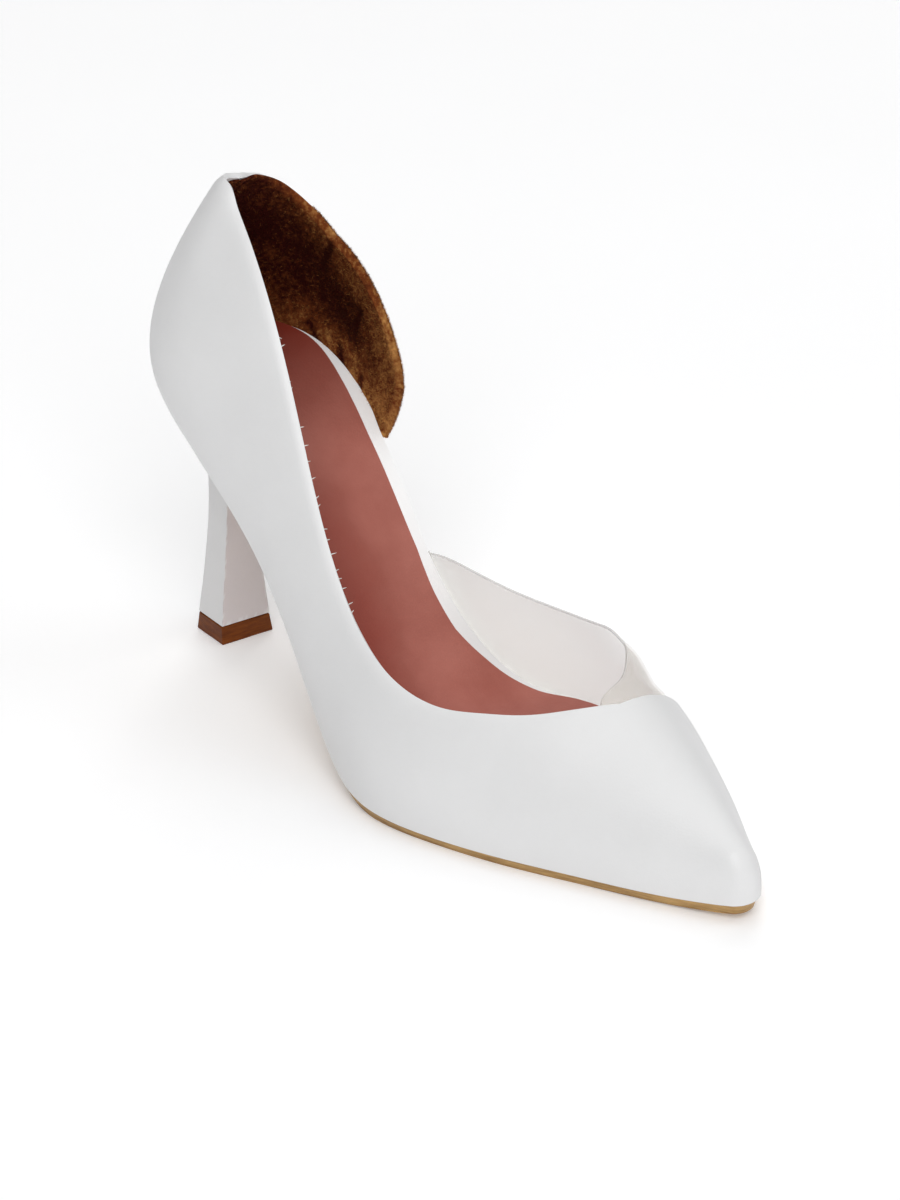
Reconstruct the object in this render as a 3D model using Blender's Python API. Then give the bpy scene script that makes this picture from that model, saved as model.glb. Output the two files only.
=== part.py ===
"""Pointed toe pump for the right foot: a high flared heel, the outer side closed, the inner side open at the waist.

Lengths are in metres. The toe points along -Y, +X is the inner side of the foot and the shoe stands on Z = 0.
A place along the shoe is its Y. Round the heel and the toe the place runs on past the centre of the curve,
so that one number leads from the middle of the toe to the middle of the back on either side. The tables measure
from a middle line under the ball, and the finished pieces are moved so that the origin is the middle of their box.
"""
import bmesh
import bpy
import numpy as np

MM = 0.001
OUTER = -1
INNER = 1

# Driving sizes
WALL = 1.6 * MM
GAP = 0.3 * MM
PANEL_WALL = 0.7 * MM
INSOLE_THICKNESS = 4.5 * MM
SOLE_BEVEL = 1.0 * MM
TOE_CENTRE = -97.3 * MM
TOE_TURN = 7 * MM
TOE_TAPER = np.radians(28.5)
TOE_DROP = 0.16
HEEL_CENTRE = 92 * MM
HEEL_TURN = 45 * MM
SEAT_LENGTH = 31.5 * MM
SEAT_POWER = 2.5
THROAT = -49.0 * MM
VAMP_FOOT = -29 * MM
VAMP_CUT_POWER = 1.8
WING_FOOT = 76.5 * MM
PANEL_TUCKS = np.array([-4, 0, 6]) * MM
PANEL_TOP_SHARES = (1.03, 1.1, 1.1)
PANEL_DEPTHS = np.array([-0.5, 1.5, 1.2]) * MM
PANEL_FLARE = 1.2 * MM
PANEL_FIRST = np.array([0, 0.15, 0.42])
PANEL_LAST = np.array([0, 0.25, 0.08])
PANEL_LIFT = 0.5 * MM
PANEL_FOOT_SHARE = 0.012
BREAST = 86.5 * MM
SEAT_INSET = 1.2 * MM
HEEL_CENTRE_X = -1.3 * MM
HEEL_SWING = np.radians(-4.7)
FLARE_POWER = 2.4
TIP_THICKNESS = 5.5 * MM
TIP_TAPER = 0.6 * MM
MERGE = 0.03 * MM
BOX_MIDDLE = np.array([-0.07, 11.7, 0]) * MM

# Steps of the facets
TOE_STEPS = 5
VAMP_STEPS = 12
QUARTER_STEPS = 46
WING_STEPS = 20
WALL_STEPS = 11
ACROSS_STEPS = 6
PANEL_STEPS = 26
PANEL_RISE_STEPS = 11
SEAT_STEPS = 14
FLARE_STEPS = 8
GIRTH_SAMPLES = 81
SOLE_STEP = 4.5 * MM
SLOPE_STEP = 0.2 * MM
SLOPE_SHARE = 0.004


def table(columns, *rows):
    """Returns the named columns of a small table of millimetres, as arrays in metres."""
    return dict(zip(columns.split(), np.array(rows, float).T * MM))


# Bottom of the last: both edges of the feather line in plan, its height, and how much higher the arch is inside
BOTTOM = table(
    "place outer inner feather arch",
    (-103, 0.5, 5.0, 6.0, 0),
    (-98.5, -1.6, 6.5, 5.3, 0),
    (-80, -10.5, 17.8, 3.8, 0),
    (-60, -19.3, 28.0, 3.4, 0),
    (-40, -28.1, 35.8, 3.3, 0),
    (-20, -35.1, 39.2, 3.3, 0),
    (0, -38.7, 38.7, 3.6, 0),
    (20, -35.3, 29.0, 7.4, 1.0),
    (40, -30.6, 21.5, 25.4, 2.6),
    (60, -28.0, 21.8, 48.6, 3.2),
    (80, -28.0, 25.4, 66.6, 2.0),
    (92, -28.0, 26.8, 75.6, 0.8),
    (106, -26.0, 26.0, 83.6, 0),
    (121, -25.0, 25.0, 88.6, 0),
)

# Top of the last: its middle line, its height, its half width there, and how far the walls lean out over the feather
CROWN = table(
    "place ridge height outer_half inner_half outer_flare inner_flare",
    (-98.5, 3.0, 16.0, 0, 0, 0.6, 0.3),
    (-80, 4.0, 25.0, 0, 0, 1.2, 0.6),
    (-60, 4.5, 34.0, 0, 0, 2.0, 2.0),
    (-40, 3.5, 43.0, 0, 0, 2.5, 4.0),
    (-20, 1.5, 51.5, 0, 0, 3.0, 3.6),
    (0, 0.0, 64.0, 1.0, 1.0, 3.0, 3.2),
    (20, -1.0, 82.0, 2.5, 3.5, 3.5, 3.0),
    (40, -2.0, 106.0, 4.5, 9.0, 4.0, 3.0),
    (60, -1.5, 129.0, 5.5, 15.0, 4.6, 4.0),
    (80, -0.5, 146.0, 5.0, 14.0, 5.2, 5.0),
    (92, -0.5, 154.0, 3.0, 9.0, 6.9, 6.0),
    (137, -0.5, 158.6, 3.0, 3.0, 8.0, 8.0),
)

# Fullness of the walls in thousandths of their height or width: first rise, shoulder, and drop from the crown
FULLNESS = table(
    "place rise shoulder drop",
    (-98.5, 600, 720, 0),
    (-80, 520, 700, 0),
    (-60, 470, 670, 0),
    (-40, 430, 640, 0),
    (-20, 400, 630, 30),
    (0, 360, 640, 100),
    (20, 340, 660, 180),
    (40, 320, 680, 250),
    (60, 300, 680, 290),
    (92, 270, 650, 320),
    (137, 200, 628, 372),
)

# Topline of the closed side from the throat to the middle of the back: wall length up from the feather line
QUARTER_TOP = table(
    "place girth",
    (-46.3, 46.0),
    (-43.2, 42.7),
    (-36.7, 38.7),
    (-26.5, 35.9),
    (-16.8, 34.2),
    (-8, 34.6),
    (4, 37.4),
    (15, 40.7),
    (27, 43.4),
    (38, 46.4),
    (52, 52.9),
    (65, 60.0),
    (79, 66.4),
    (95, 69.6),
    (116, 64.8),
    (137, 60.8),
)

# Topline of the wing from the middle of the back to the low end of its front edge
WING_TOP = table(
    "place girth",
    (137, 60.8),
    (120, 58.4),
    (106, 54.0),
    (92, 51.0),
    (80, 48.9),
    (71, 44.6),
    (66, 37.4),
    (66, 28.5),
)

# Clear panel's free sections, back to front: foot on the feather line, top, and how far the shoulder stands out
PANEL = table(
    "foot top_x top_y top_z shoulder",
    (51, 20.6, 51.5, 42.0, 0.1),
    (43, 20.5, 43.5, 43.6, 0.4),
    (33, 22.3, 33.0, 42.6, 1.0),
    (21, 27.8, 20.0, 38.8, 1.5),
    (12, 31.6, 8.0, 37.4, 2.5),
    (3, 32.5, -6.0, 38.3, 3.5),
    (-5, 29.5, -17.0, 41.2, 4.0),
    (-13, 25.0, -26.5, 43.2, 5.5),
    (-18, 19.0, -35.5, 44.8, 11.0),
    (-22, 12.0, -42.0, 42.8, 18.5),
)

# Outsole: how far its edge stands out from the feather line, and its thickness
SOLE = table(
    "place margin thickness",
    (-105, 0.8, 3.2),
    (-60, 0.8, 3.0),
    (-40, 0.8, 3.2),
    (0, 0.8, 3.4),
    (20, 0.9, 2.5),
    (40, -2.0, 1.9),
    (60, -3.0, 1.6),
    (86, -3.0, 1.4),
)

# Insole: how far its edge lies in from the feather line on each side
INSET = table(
    "place outer inner",
    (-105, 0.9, 0.9),
    (-47, 0.9, 0.9),
    (-37, 0.9, 1.7),
    (50, 0.9, 1.7),
    (58, 0.9, 0.9),
    (140, 0.9, 0.9),
)

# Straight part of the heel, floor to neck
STEM = table(
    "height width depth centre",
    (5.8, 16.2, 13.4, 116.5),
    (15, 14.2, 12.1, 116.0),
    (28, 11.7, 10.9, 115.3),
    (40, 10.2, 10.3, 114.6),
    (52, 9.9, 10.4, 114.0),
)

# Finish of each piece: colour, roughness and transmission
FINISHES = {
    "upper": ((0.86, 0.86, 0.87), 0.38, 0.0),
    "side_panel": ((0.90, 0.89, 0.87), 0.10, 0.9),
    "insole": ((0.42, 0.13, 0.11), 0.55, 0.0),
    "outsole": ((0.45, 0.28, 0.11), 0.50, 0.0),
    "heel": ((0.84, 0.84, 0.85), 0.36, 0.0),
    "heel_tip": ((0.16, 0.07, 0.02), 0.45, 0.0),
}


def smooth(knots, values, at):
    """Natural cubic spline through the knots, held level beyond its ends."""
    gaps = np.diff(knots)
    slopes = np.diff(values) / gaps
    count = len(knots)
    system = np.eye(count)
    right = np.zeros(count)
    for k in range(1, count - 1):
        system[k, k - 1:k + 2] = gaps[k - 1], 2 * (gaps[k - 1] + gaps[k]), gaps[k]
        right[k] = 6 * (slopes[k] - slopes[k - 1])
    bends = np.linalg.solve(system, right)
    inside = np.clip(at, knots[0], knots[-1])
    span = np.clip(np.searchsorted(knots, inside) - 1, 0, count - 2)
    back = (knots[span + 1] - inside) / gaps[span]
    front = 1 - back
    bow = (back**3 - back) * bends[span] + (front**3 - front) * bends[span + 1]
    return back * values[span] + front * values[span + 1] + bow * gaps[span]**2 / 6


def read(rows, column, place):
    """Smooth value of a table's column at a place along the shoe."""
    return smooth(rows["place"], rows[column], np.asarray(place, float))


def straight(rows, column, place):
    """Value of a table's column at a place, on straight lines between the rows."""
    return np.interp(place, rows["place"], rows[column])


def named(side):
    """Name of a side in the tables."""
    return "outer" if side == OUTER else "inner"


def plan(side, place):
    """Pivot, direction and reach, in plan, of the wall's section; at the toe's tip both sides have one reach."""
    place = np.asarray(place, float)
    middle = np.clip(place, TOE_CENTRE, HEEL_CENTRE)
    ridge = read(CROWN, "ridge", middle)
    reach, tip = [s * (read(BOTTOM, named(s), middle) - ridge) for s in (side, OUTER)]
    toe_turn = np.clip((TOE_CENTRE - place) / TOE_TURN, 0, 1) * np.pi / 2
    heel_turn = np.clip((place - HEEL_CENTRE) / HEEL_TURN, 0, 1) * np.pi / 2
    round_toe = np.cos(TOE_TAPER) / np.cos(np.maximum(TOE_TAPER - toe_turn, 0))
    reach = (reach + (tip - reach) * np.sin(toe_turn)**2) * np.where(toe_turn > 0, round_toe, 1)
    round_seat = (np.cos(heel_turn) / reach)**SEAT_POWER + (np.sin(heel_turn) / SEAT_LENGTH)**SEAT_POWER
    reach = np.where(heel_turn > 0, round_seat**(-1 / SEAT_POWER), reach)
    turn = heel_turn - toe_turn
    return ridge, middle, side * np.cos(turn), np.sin(turn), reach


def feather_height(side, y):
    """Height of the feather line, lifted along the arch on the inner side."""
    lift = read(BOTTOM, "arch", y) if side == INNER else 0
    return read(BOTTOM, "feather", y) + lift


def bezier_weights(share):
    """Weights of the four points of a cubic curve."""
    rest = 1 - share
    return rest**3, 3 * share * rest**2, 3 * share**2 * rest, share**3


def wall(side, place, share):
    """Points of the last: share 0 is the feather line and share 1 the ridge, on a cubic curve between them."""
    pivot_x, pivot_y, to_x, to_y, reach = plan(side, place)
    foot = feather_height(side, pivot_y + to_y * reach)
    along = np.maximum(place, TOE_CENTRE)
    crown = read(CROWN, "height", along)
    half = read(CROWN, named(side) + "_half", along) * (along > THROAT)
    tall = crown - foot
    flare, tip_flare = [read(CROWN, named(s) + "_flare", along) for s in (side, OUTER)]
    first_out = reach + flare + (tip_flare - flare) * np.maximum(-to_y, 0)**2
    first_up = foot + read(FULLNESS, "rise", along) * tall
    last_out = half + read(FULLNESS, "shoulder", along) * (reach - half)
    drop = read(FULLNESS, "drop", along) + TOE_DROP * np.maximum(-to_y, 0)
    last_up = crown - drop * tall
    weights = bezier_weights(share)
    out = sum(w * p for w, p in zip(weights, (reach, first_out, last_out, half)))
    up = sum(w * p for w, p in zip(weights, (foot, first_up, last_up, crown)))
    return np.stack([pivot_x + to_x * out, pivot_y + to_y * out, up], -1)


def wall_inside(side, place, share, depth):
    """Points a given depth under the last's surface."""
    along = wall(side, place + SLOPE_STEP, share) - wall(side, place - SLOPE_STEP, share)
    above = wall(side, place, np.minimum(share + SLOPE_SHARE, 1))
    up = above - wall(side, place, np.maximum(share - SLOPE_SHARE, 0))
    inward = np.cross(up, along) * side
    inward = inward / np.linalg.norm(inward, axis=-1, keepdims=True)
    return wall(side, place, share) + inward * depth


def lengths_up(side, places):
    """Wall lengths from the feather line to evenly spread shares of the wall, a row per place."""
    points = wall(side, places[:, None], np.linspace(0, 1, GIRTH_SAMPLES)[None, :])
    steps = np.linalg.norm(np.diff(points, axis=1), axis=2)
    return np.concatenate([np.zeros((len(places), 1)), np.cumsum(steps, axis=1)], axis=1)


def share_at(side, places, girths):
    """Shares of the wall that lie given lengths up from the feather line."""
    shares = np.linspace(0, 1, GIRTH_SAMPLES)
    rows = zip(girths, lengths_up(side, places))
    return np.array([np.interp(girth, lengths, shares) for girth, lengths in rows])


def edge_line(places, girths, count):
    """Evenly spaced places and girths on a smooth line through a topline's rows."""
    knots = np.concatenate([[0], np.cumsum(np.hypot(np.diff(places), np.diff(girths)))])
    at = np.linspace(0, knots[-1], count)
    return smooth(knots, places, at), smooth(knots, girths, at)


def vamp_cut(share):
    """Place of the vamp's inner edge, which slants back from the throat down to the feather line."""
    return THROAT + (VAMP_FOOT - THROAT) * (1 - share)**VAMP_CUT_POWER


def bottom_edge(side, places, inset):
    """Points on the feather line's level, a given inset from it along each section."""
    pivot_x, pivot_y, to_x, to_y, reach = plan(side, places)
    height = feather_height(side, pivot_y + to_y * reach)
    within = reach - inset
    return np.stack([pivot_x + to_x * within, pivot_y + to_y * within, height], -1)


def chords(outer_edge, inner_edge, count):
    """Rows of points on straight lines from one edge to the other."""
    across = np.linspace(0, 1, count + 1)[None, :, None]
    return outer_edge[:, None, :] * (1 - across) + inner_edge[:, None, :] * across


def add_grid(bm, points, flip=False):
    """Adds a grid of points to a mesh as quads."""
    verts = [[bm.verts.new(point) for point in row] for row in points]
    for low, high in zip(verts, verts[1:]):
        for k in range(len(low) - 1):
            corners = (low[k], low[k + 1], high[k + 1], high[k])
            bm.faces.new(corners[::-1] if flip else corners)


def add_layer(bm, top, bottom):
    """Adds the closed skin of a layer between two grids of the same size."""
    add_grid(bm, top)
    add_grid(bm, bottom, flip=True)
    for edge in (lambda grid: grid[0], lambda grid: grid[-1], lambda grid: grid[:, 0], lambda grid: grid[:, -1]):
        add_grid(bm, np.stack([edge(top), edge(bottom)]))


def add_material(obj):
    """Gives a piece its own material."""
    colour, roughness, transmission = FINISHES[obj.name]
    material = bpy.data.materials.new(obj.name)
    material.use_nodes = True
    shader = material.node_tree.nodes["Principled BSDF"]
    shader.inputs["Base Color"].default_value = (*colour, 1)
    shader.inputs["Roughness"].default_value = roughness
    shader.inputs["Metallic"].default_value = 0
    shader.inputs["Transmission Weight"].default_value = transmission
    obj.data.materials.append(material)


def make_piece(name, bm, crease=np.radians(40), closed=True):
    """Turns a mesh into a named piece, its doubles merged and its faces outwards."""
    bmesh.ops.remove_doubles(bm, verts=bm.verts, dist=MERGE)
    bmesh.ops.dissolve_degenerate(bm, edges=bm.edges, dist=MERGE / 3)
    if closed:
        bmesh.ops.recalc_face_normals(bm, faces=bm.faces)
    bmesh.ops.translate(bm, verts=bm.verts, vec=-BOX_MIDDLE)
    mesh = bpy.data.meshes.new(name)
    bm.to_mesh(mesh)
    bm.free()
    mesh.shade_smooth()
    mesh.set_sharp_from_angle(angle=crease)
    obj = bpy.data.objects.new(name, mesh)
    bpy.context.collection.objects.link(obj)
    add_material(obj)
    return obj


def thicken(obj, thickness, outwards):
    """Gives a sheet that faces outwards its wall, grown outwards or inwards from it."""
    shell = obj.modifiers.new("wall", "SOLIDIFY")
    shell.thickness = thickness
    shell.offset = 1 if outwards else -1
    shell.use_even_offset = True


def make_upper():
    """Vamp, closed quarter, counter and wing as one leather wall, open at the topline, the waist and underneath."""
    bm = bmesh.new()
    shares = np.linspace(0, 1, WALL_STEPS + 1)
    toe_places = np.linspace(TOE_CENTRE - TOE_TURN, TOE_CENTRE, TOE_STEPS + 1)
    for side in (OUTER, INNER):
        add_grid(bm, wall(side, toe_places[:, None], shares[None, :]), flip=side == INNER)
    along = np.linspace(0, 1, VAMP_STEPS + 1)
    vamp_places = TOE_CENTRE + along * (THROAT - TOE_CENTRE)
    add_grid(bm, wall(OUTER, vamp_places[:, None], shares[None, :]))
    cut_places = TOE_CENTRE + along[:, None] * (vamp_cut(shares)[None, :] - TOE_CENTRE)
    add_grid(bm, wall(INNER, cut_places, shares[None, :]), flip=True)
    add_grid(bm, quarter_grid())
    add_grid(bm, wing_grid(), flip=True)
    thicken(make_piece("upper", bm, closed=False), WALL, outwards=True)


def quarter_grid():
    """Closed side from the throat to the middle of the back, its stations leaning from feather line to topline."""
    throat_girth = lengths_up(OUTER, np.array([THROAT]))[0, -1:]
    places = np.concatenate([[THROAT], QUARTER_TOP["place"]])
    girths = np.concatenate([throat_girth, QUARTER_TOP["girth"]])
    top_places, top_girths = edge_line(places, girths, QUARTER_STEPS + 1)
    top_shares = share_at(OUTER, top_places, top_girths)
    top_shares[0] = 1
    rise = np.linspace(0, 1, WALL_STEPS + 1)
    return wall(OUTER, top_places[:, None], top_shares[:, None] * rise[None, :])


def wing_grid():
    """Inner side of the counter, its stations leaning forward to the wing's front edge."""
    top_places, top_girths = edge_line(WING_TOP["place"], WING_TOP["girth"], WING_STEPS + 1)
    top_shares = share_at(INNER, top_places, top_girths)
    foot_places = np.linspace(HEEL_CENTRE + HEEL_TURN, WING_FOOT, WING_STEPS + 1)
    rise = np.linspace(0, 1, WALL_STEPS + 1)
    places = foot_places[:, None] + (top_places - foot_places)[:, None] * rise[None, :]
    return wall(INNER, places, top_shares[:, None] * rise[None, :])[::-1]


def tuck_row(tuck, top_share, rise, depth):
    """Points under the vamp, a given way in from its edge; shares past the ridge lie on the outer side."""
    shares = PANEL_FOOT_SHARE + (top_share - PANEL_FOOT_SHARE) * rise
    places = vamp_cut(np.minimum(shares, 1)) - tuck
    near = wall_inside(INNER, places, np.minimum(shares, 1), depth)
    far = wall_inside(OUTER, places, np.minimum(2 - shares, 1), depth)
    return np.where(shares[:, None] > 1, far, near)


def make_side_panel():
    """Clear sheet that closes the inner side of the forefoot, tucked under the vamp's edge."""
    rise = np.linspace(0, 1, PANEL_RISE_STEPS + 1)
    feet = bottom_edge(INNER, PANEL["foot"], GAP) + (0, 0, PANEL_LIFT)
    tops = np.stack([PANEL["top_x"], PANEL["top_y"], PANEL["top_z"]], -1)
    way = tops - feet
    first = feet + way * PANEL_FIRST + (PANEL_FLARE, 0, 0)
    last = tops - way * PANEL_LAST + PANEL["shoulder"][:, None] * (1, 0, 0)
    weights = bezier_weights(rise)
    free = sum(p[:, None, :] * w[None, :, None] for w, p in zip(weights, (feet, first, last, tops)))
    under = zip(PANEL_TUCKS, PANEL_TOP_SHARES, PANEL_DEPTHS)
    tucked = [tuck_row(tuck, top, rise, depth) for tuck, top, depth in under]
    sections = np.concatenate([free, np.stack(tucked)])
    knots = np.concatenate([[0], np.cumsum(np.linalg.norm(np.diff(sections.mean(axis=1), axis=0), axis=1))])
    at = np.linspace(0, knots[-1], PANEL_STEPS + 1)
    grid = np.stack([[smooth(knots, sections[:, k, axis], at) for k in range(len(rise))] for axis in range(3)], -1)
    bm = bmesh.new()
    add_grid(bm, grid.swapaxes(0, 1), flip=True)
    thicken(make_piece("side_panel", bm, closed=False), PANEL_WALL, outwards=False)


def sole_places(end):
    """Places of the bottom's sections from the middle of the toe to an end place."""
    toe = np.linspace(TOE_CENTRE - TOE_TURN, TOE_CENTRE, TOE_STEPS + 1)
    count = int((end - TOE_CENTRE) / SOLE_STEP)
    return np.concatenate([toe, np.linspace(TOE_CENTRE, end, count)[1:]])


def make_insole():
    """Covered insole board on the feather line's level, from the toe to the back of the seat."""
    places = sole_places(HEEL_CENTRE + HEEL_TURN)
    edges = [bottom_edge(side, places, straight(INSET, named(side), places)) for side in (OUTER, INNER)]
    bottom = chords(*edges, ACROSS_STEPS)
    bm = bmesh.new()
    add_layer(bm, bottom + (0, 0, INSOLE_THICKNESS), bottom)
    make_piece("insole", bm)


def make_outsole():
    """Thin sole from the toe to the heel's breast, flat on the floor under the forefoot."""
    places = sole_places(BREAST - GAP)
    margin = read(SOLE, "margin", places)
    top, rim = [
        chords(*[bottom_edge(side, places, inset) for side in (OUTER, INNER)], ACROSS_STEPS) - (0, 0, GAP)
        for inset in (-margin, SOLE_BEVEL - margin)
    ]
    bottom = rim - read(SOLE, "thickness", places)[:, None, None] * (0, 0, 1)
    bottom[..., 2] = np.maximum(bottom[..., 2], 0)
    bm = bmesh.new()
    add_layer(bm, top, bottom)
    make_piece("outsole", bm)


def stem_side(side, row):
    """One half of the stem's outline at a row of its table, from the front corner to the middle of the back."""
    half = STEM["width"][row] / 2
    deep = STEM["depth"][row]
    back_share = half / (half + deep)
    back_steps = int(round(SEAT_STEPS * back_share))
    flank = np.linspace(0, 1, SEAT_STEPS - back_steps + 1)
    back = np.linspace(1, 0, back_steps + 1)[1:]
    x = side * half * np.concatenate([np.ones(len(flank)), back])
    y = deep * np.concatenate([flank, np.ones(len(back))]) - deep / 2
    return x, y


def stem_ring(row):
    """Closed ring of the stem at a row: breast from outer to inner corner, inner half, outer half."""
    halves = [np.stack(stem_side(side, row), -1) for side in (OUTER, INNER)]
    plane = ring_of(*halves)
    cos, sin = np.cos(HEEL_SWING), np.sin(HEEL_SWING)
    x = HEEL_CENTRE_X + plane[:, 0] * cos - plane[:, 1] * sin
    y = STEM["centre"][row] + plane[:, 0] * sin + plane[:, 1] * cos
    return np.stack([x, y, np.full(len(x), STEM["height"][row])], -1)


def ring_of(outer_half, inner_half):
    """Joins two halves that meet at the middle of the back into one ring, with a straight breast."""
    across = np.linspace(0, 1, ACROSS_STEPS + 1)[1:-1, None]
    breast = outer_half[0] * (1 - across) + inner_half[0] * across
    return np.concatenate([outer_half[:1], breast, inner_half, outer_half[-2:0:-1]])


def make_heel():
    """Covered heel: a stem that narrows to its neck, then spreads under the seat."""
    places = np.linspace(BREAST, HEEL_CENTRE + HEEL_TURN, SEAT_STEPS + 1)
    edges = [bottom_edge(side, places, SEAT_INSET) - (0, 0, GAP) for side in (OUTER, INNER)]
    stem = [stem_ring(row) for row in range(len(STEM["height"]))]
    seat = ring_of(*edges)
    spread = np.linspace(0, 1, FLARE_STEPS + 1)[1:, None]
    flat = spread**FLARE_POWER * np.array([1, 1, 0]) + spread * np.array([0, 0, 1])
    flare = [stem[-1] * (1 - part) + seat * part for part in flat]
    rings = np.array(stem + flare)
    rings = np.concatenate([rings, rings[:, :1]], axis=1)
    bm = bmesh.new()
    add_grid(bm, rings)
    add_grid(bm, chords(*edges, ACROSS_STEPS))
    bm.faces.new([bm.verts.new(point) for point in rings[0, :-1]])
    make_piece("heel", bm)


def make_heel_tip():
    """Top lift under the heel, a little wider at the floor."""
    upper_ring = stem_ring(0)
    middle = upper_ring.mean(axis=0)
    outward = np.sign(upper_ring - middle)
    rings = []
    for height, margin in ((0, TIP_TAPER), (TIP_THICKNESS, 0)):
        ring = upper_ring + outward * margin
        ring[:, 2] = height
        rings.append(ring)
    bm = bmesh.new()
    closed = np.concatenate([np.array(rings), np.array(rings)[:, :1]], axis=1)
    add_grid(bm, closed)
    for ring in rings:
        bm.faces.new([bm.verts.new(point) for point in ring])
    make_piece("heel_tip", bm)


def main():
    """Builds every piece of the shoe."""
    for obj in list(bpy.data.objects):
        bpy.data.objects.remove(obj, do_unlink=True)
    make_upper()
    make_side_panel()
    make_insole()
    make_outsole()
    make_heel()
    make_heel_tip()


main()
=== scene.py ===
"""Looks of the pointed toe pump: leather, napped lining, sock, clear panel, sole edge and covered heel.

Every surface is worked out from the same last as the solids. A place along the shoe is its Y on the last's
middle line; round the toe and the heel the place runs on past the centre of the curve, so that one number
leads from the middle of the toe to the middle of the back on either side. Lengths in tables are in
millimetres.
"""

import logging
import math
from dataclasses import dataclass
from enum import Enum

import bmesh
import bpy
import numpy as np
from mathutils import Matrix, Vector


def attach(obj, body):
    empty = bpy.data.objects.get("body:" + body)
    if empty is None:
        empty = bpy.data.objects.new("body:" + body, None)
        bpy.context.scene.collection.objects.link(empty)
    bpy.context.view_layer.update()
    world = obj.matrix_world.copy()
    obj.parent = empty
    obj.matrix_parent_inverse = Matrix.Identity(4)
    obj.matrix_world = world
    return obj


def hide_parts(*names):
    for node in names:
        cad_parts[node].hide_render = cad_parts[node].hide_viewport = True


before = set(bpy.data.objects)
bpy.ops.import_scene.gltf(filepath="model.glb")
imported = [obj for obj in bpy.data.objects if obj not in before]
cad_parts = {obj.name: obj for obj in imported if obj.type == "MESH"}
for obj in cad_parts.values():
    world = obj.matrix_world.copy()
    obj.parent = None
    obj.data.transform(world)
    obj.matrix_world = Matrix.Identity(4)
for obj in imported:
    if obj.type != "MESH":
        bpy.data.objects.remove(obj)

LOG = logging.getLogger("pump")
MM = 0.001
TINY = 1e-12
SLIVER = 0.001 * MM
UP = np.array([0.0, 0.0, 1.0])
WHITE_LIGHT = (1, 1, 1, 1)
NOISE_MIDDLE = 0.5
BODY = "root"
BOX_MIDDLE = np.array([-0.07, 11.7, 0.0]) * MM
Array = np.ndarray
Span = tuple[float, float]
Triple = tuple[float, float, float]
Colour = Triple
Piece = bpy.types.Object
Socket = bpy.types.NodeSocket
Feed = Socket | float | tuple[float, ...]


class Side(Enum):
    """Side of the foot that a wall is on; the value is the sign of X."""

    OUTER = -1
    INNER = 1

    @property
    def column(self) -> str:
        """Name of the side in the tables."""
        return self.name.lower()


class Sum(Enum):
    """Operation on two numbers in a material."""

    ADD = "ADD"
    SUBTRACT = "SUBTRACT"
    MULTIPLY = "MULTIPLY"


@dataclass(frozen=True)
class Table:
    """Small table of lengths with named columns and a row per section."""

    columns: str
    rows: tuple[tuple[float, ...], ...]

    def column(self, name: str) -> Array:
        """Returns one column in metres."""
        return np.array(self.rows, float)[:, self.columns.split().index(name)] * MM

    def at(self, name: str, place: Array) -> Array:
        """Reads a column on a smooth curve through its rows, held level beyond the first and last rows."""
        return spline(self.column("place"), self.column(name), place)

    def straight(self, name: str, place: Array) -> Array:
        """Reads a column on straight lines from row to row."""
        return np.interp(place, self.column("place"), self.column(name))


def spline(knots: Array, values: Array, at: Array) -> Array:
    """Natural cubic spline: cubics whose slope and bend agree at the knots, with no bend at the ends.

    Args:
        knots: rising positions of the values.
        values: one value, or one row of values, per knot.
        at: positions to read.

    Returns:
        The values at those positions.
    """
    flat = values.reshape(len(knots), -1)
    gaps = np.diff(knots)
    slopes = np.diff(flat, axis=0) / gaps[:, None]
    system = np.eye(len(knots))
    inner = np.arange(1, len(knots) - 1)
    system[inner, inner - 1] = gaps[:-1]
    system[inner, inner] = 2 * (gaps[:-1] + gaps[1:])
    system[inner, inner + 1] = gaps[1:]
    right = np.zeros_like(flat)
    right[1:-1] = 6 * np.diff(slopes, axis=0)
    bends = np.linalg.solve(system, right)
    inside = np.clip(np.asarray(at, float), knots[0], knots[-1])
    span = np.clip(np.searchsorted(knots, inside) - 1, 0, len(knots) - 2)
    back = ((knots[span + 1] - inside) / gaps[span])[..., None]
    front = 1 - back
    bow = (back**3 - back) * bends[span] + (front**3 - front) * bends[span + 1]
    out = back * flat[span] + front * flat[span + 1] + bow * (gaps[span]**2)[..., None] / 6
    return out.reshape(np.shape(at) + values.shape[1:])


def ease(low: float, high: float, value: Array) -> Array:
    """Smooth step from 0 at low to 1 at high."""
    share = np.clip((value - low) / (high - low), 0, 1)
    return share * share * (3 - 2 * share)


def unit(vectors: Array) -> Array:
    """Vectors brought to a length of one."""
    return vectors / np.maximum(np.linalg.norm(vectors, axis=-1, keepdims=True), TINY)


def run(points: Array) -> Array:
    """Lengths along each row of points: the sums of the steps from its first point."""
    steps = np.linalg.norm(np.diff(points, axis=-2), axis=-1)
    return np.concatenate([np.zeros_like(steps[..., :1]), np.cumsum(steps, axis=-1)], axis=-1)


def bezier(share: Array) -> tuple[Array, Array, Array, Array]:
    """Weights of the four points of a cubic curve."""
    rest = 1 - share
    return rest**3, 3 * share * rest**2, 3 * share**2 * rest, share**3


def chords(outer_edge: Array, inner_edge: Array, count: int) -> Array:
    """Rows of points on straight lines from one edge to the other, closer together near the edges."""
    across = (1 - np.cos(np.linspace(0, np.pi, count + 1)))[None, :, None] / 2
    return outer_edge[:, None, :] * (1 - across) + inner_edge[:, None, :] * across


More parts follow.
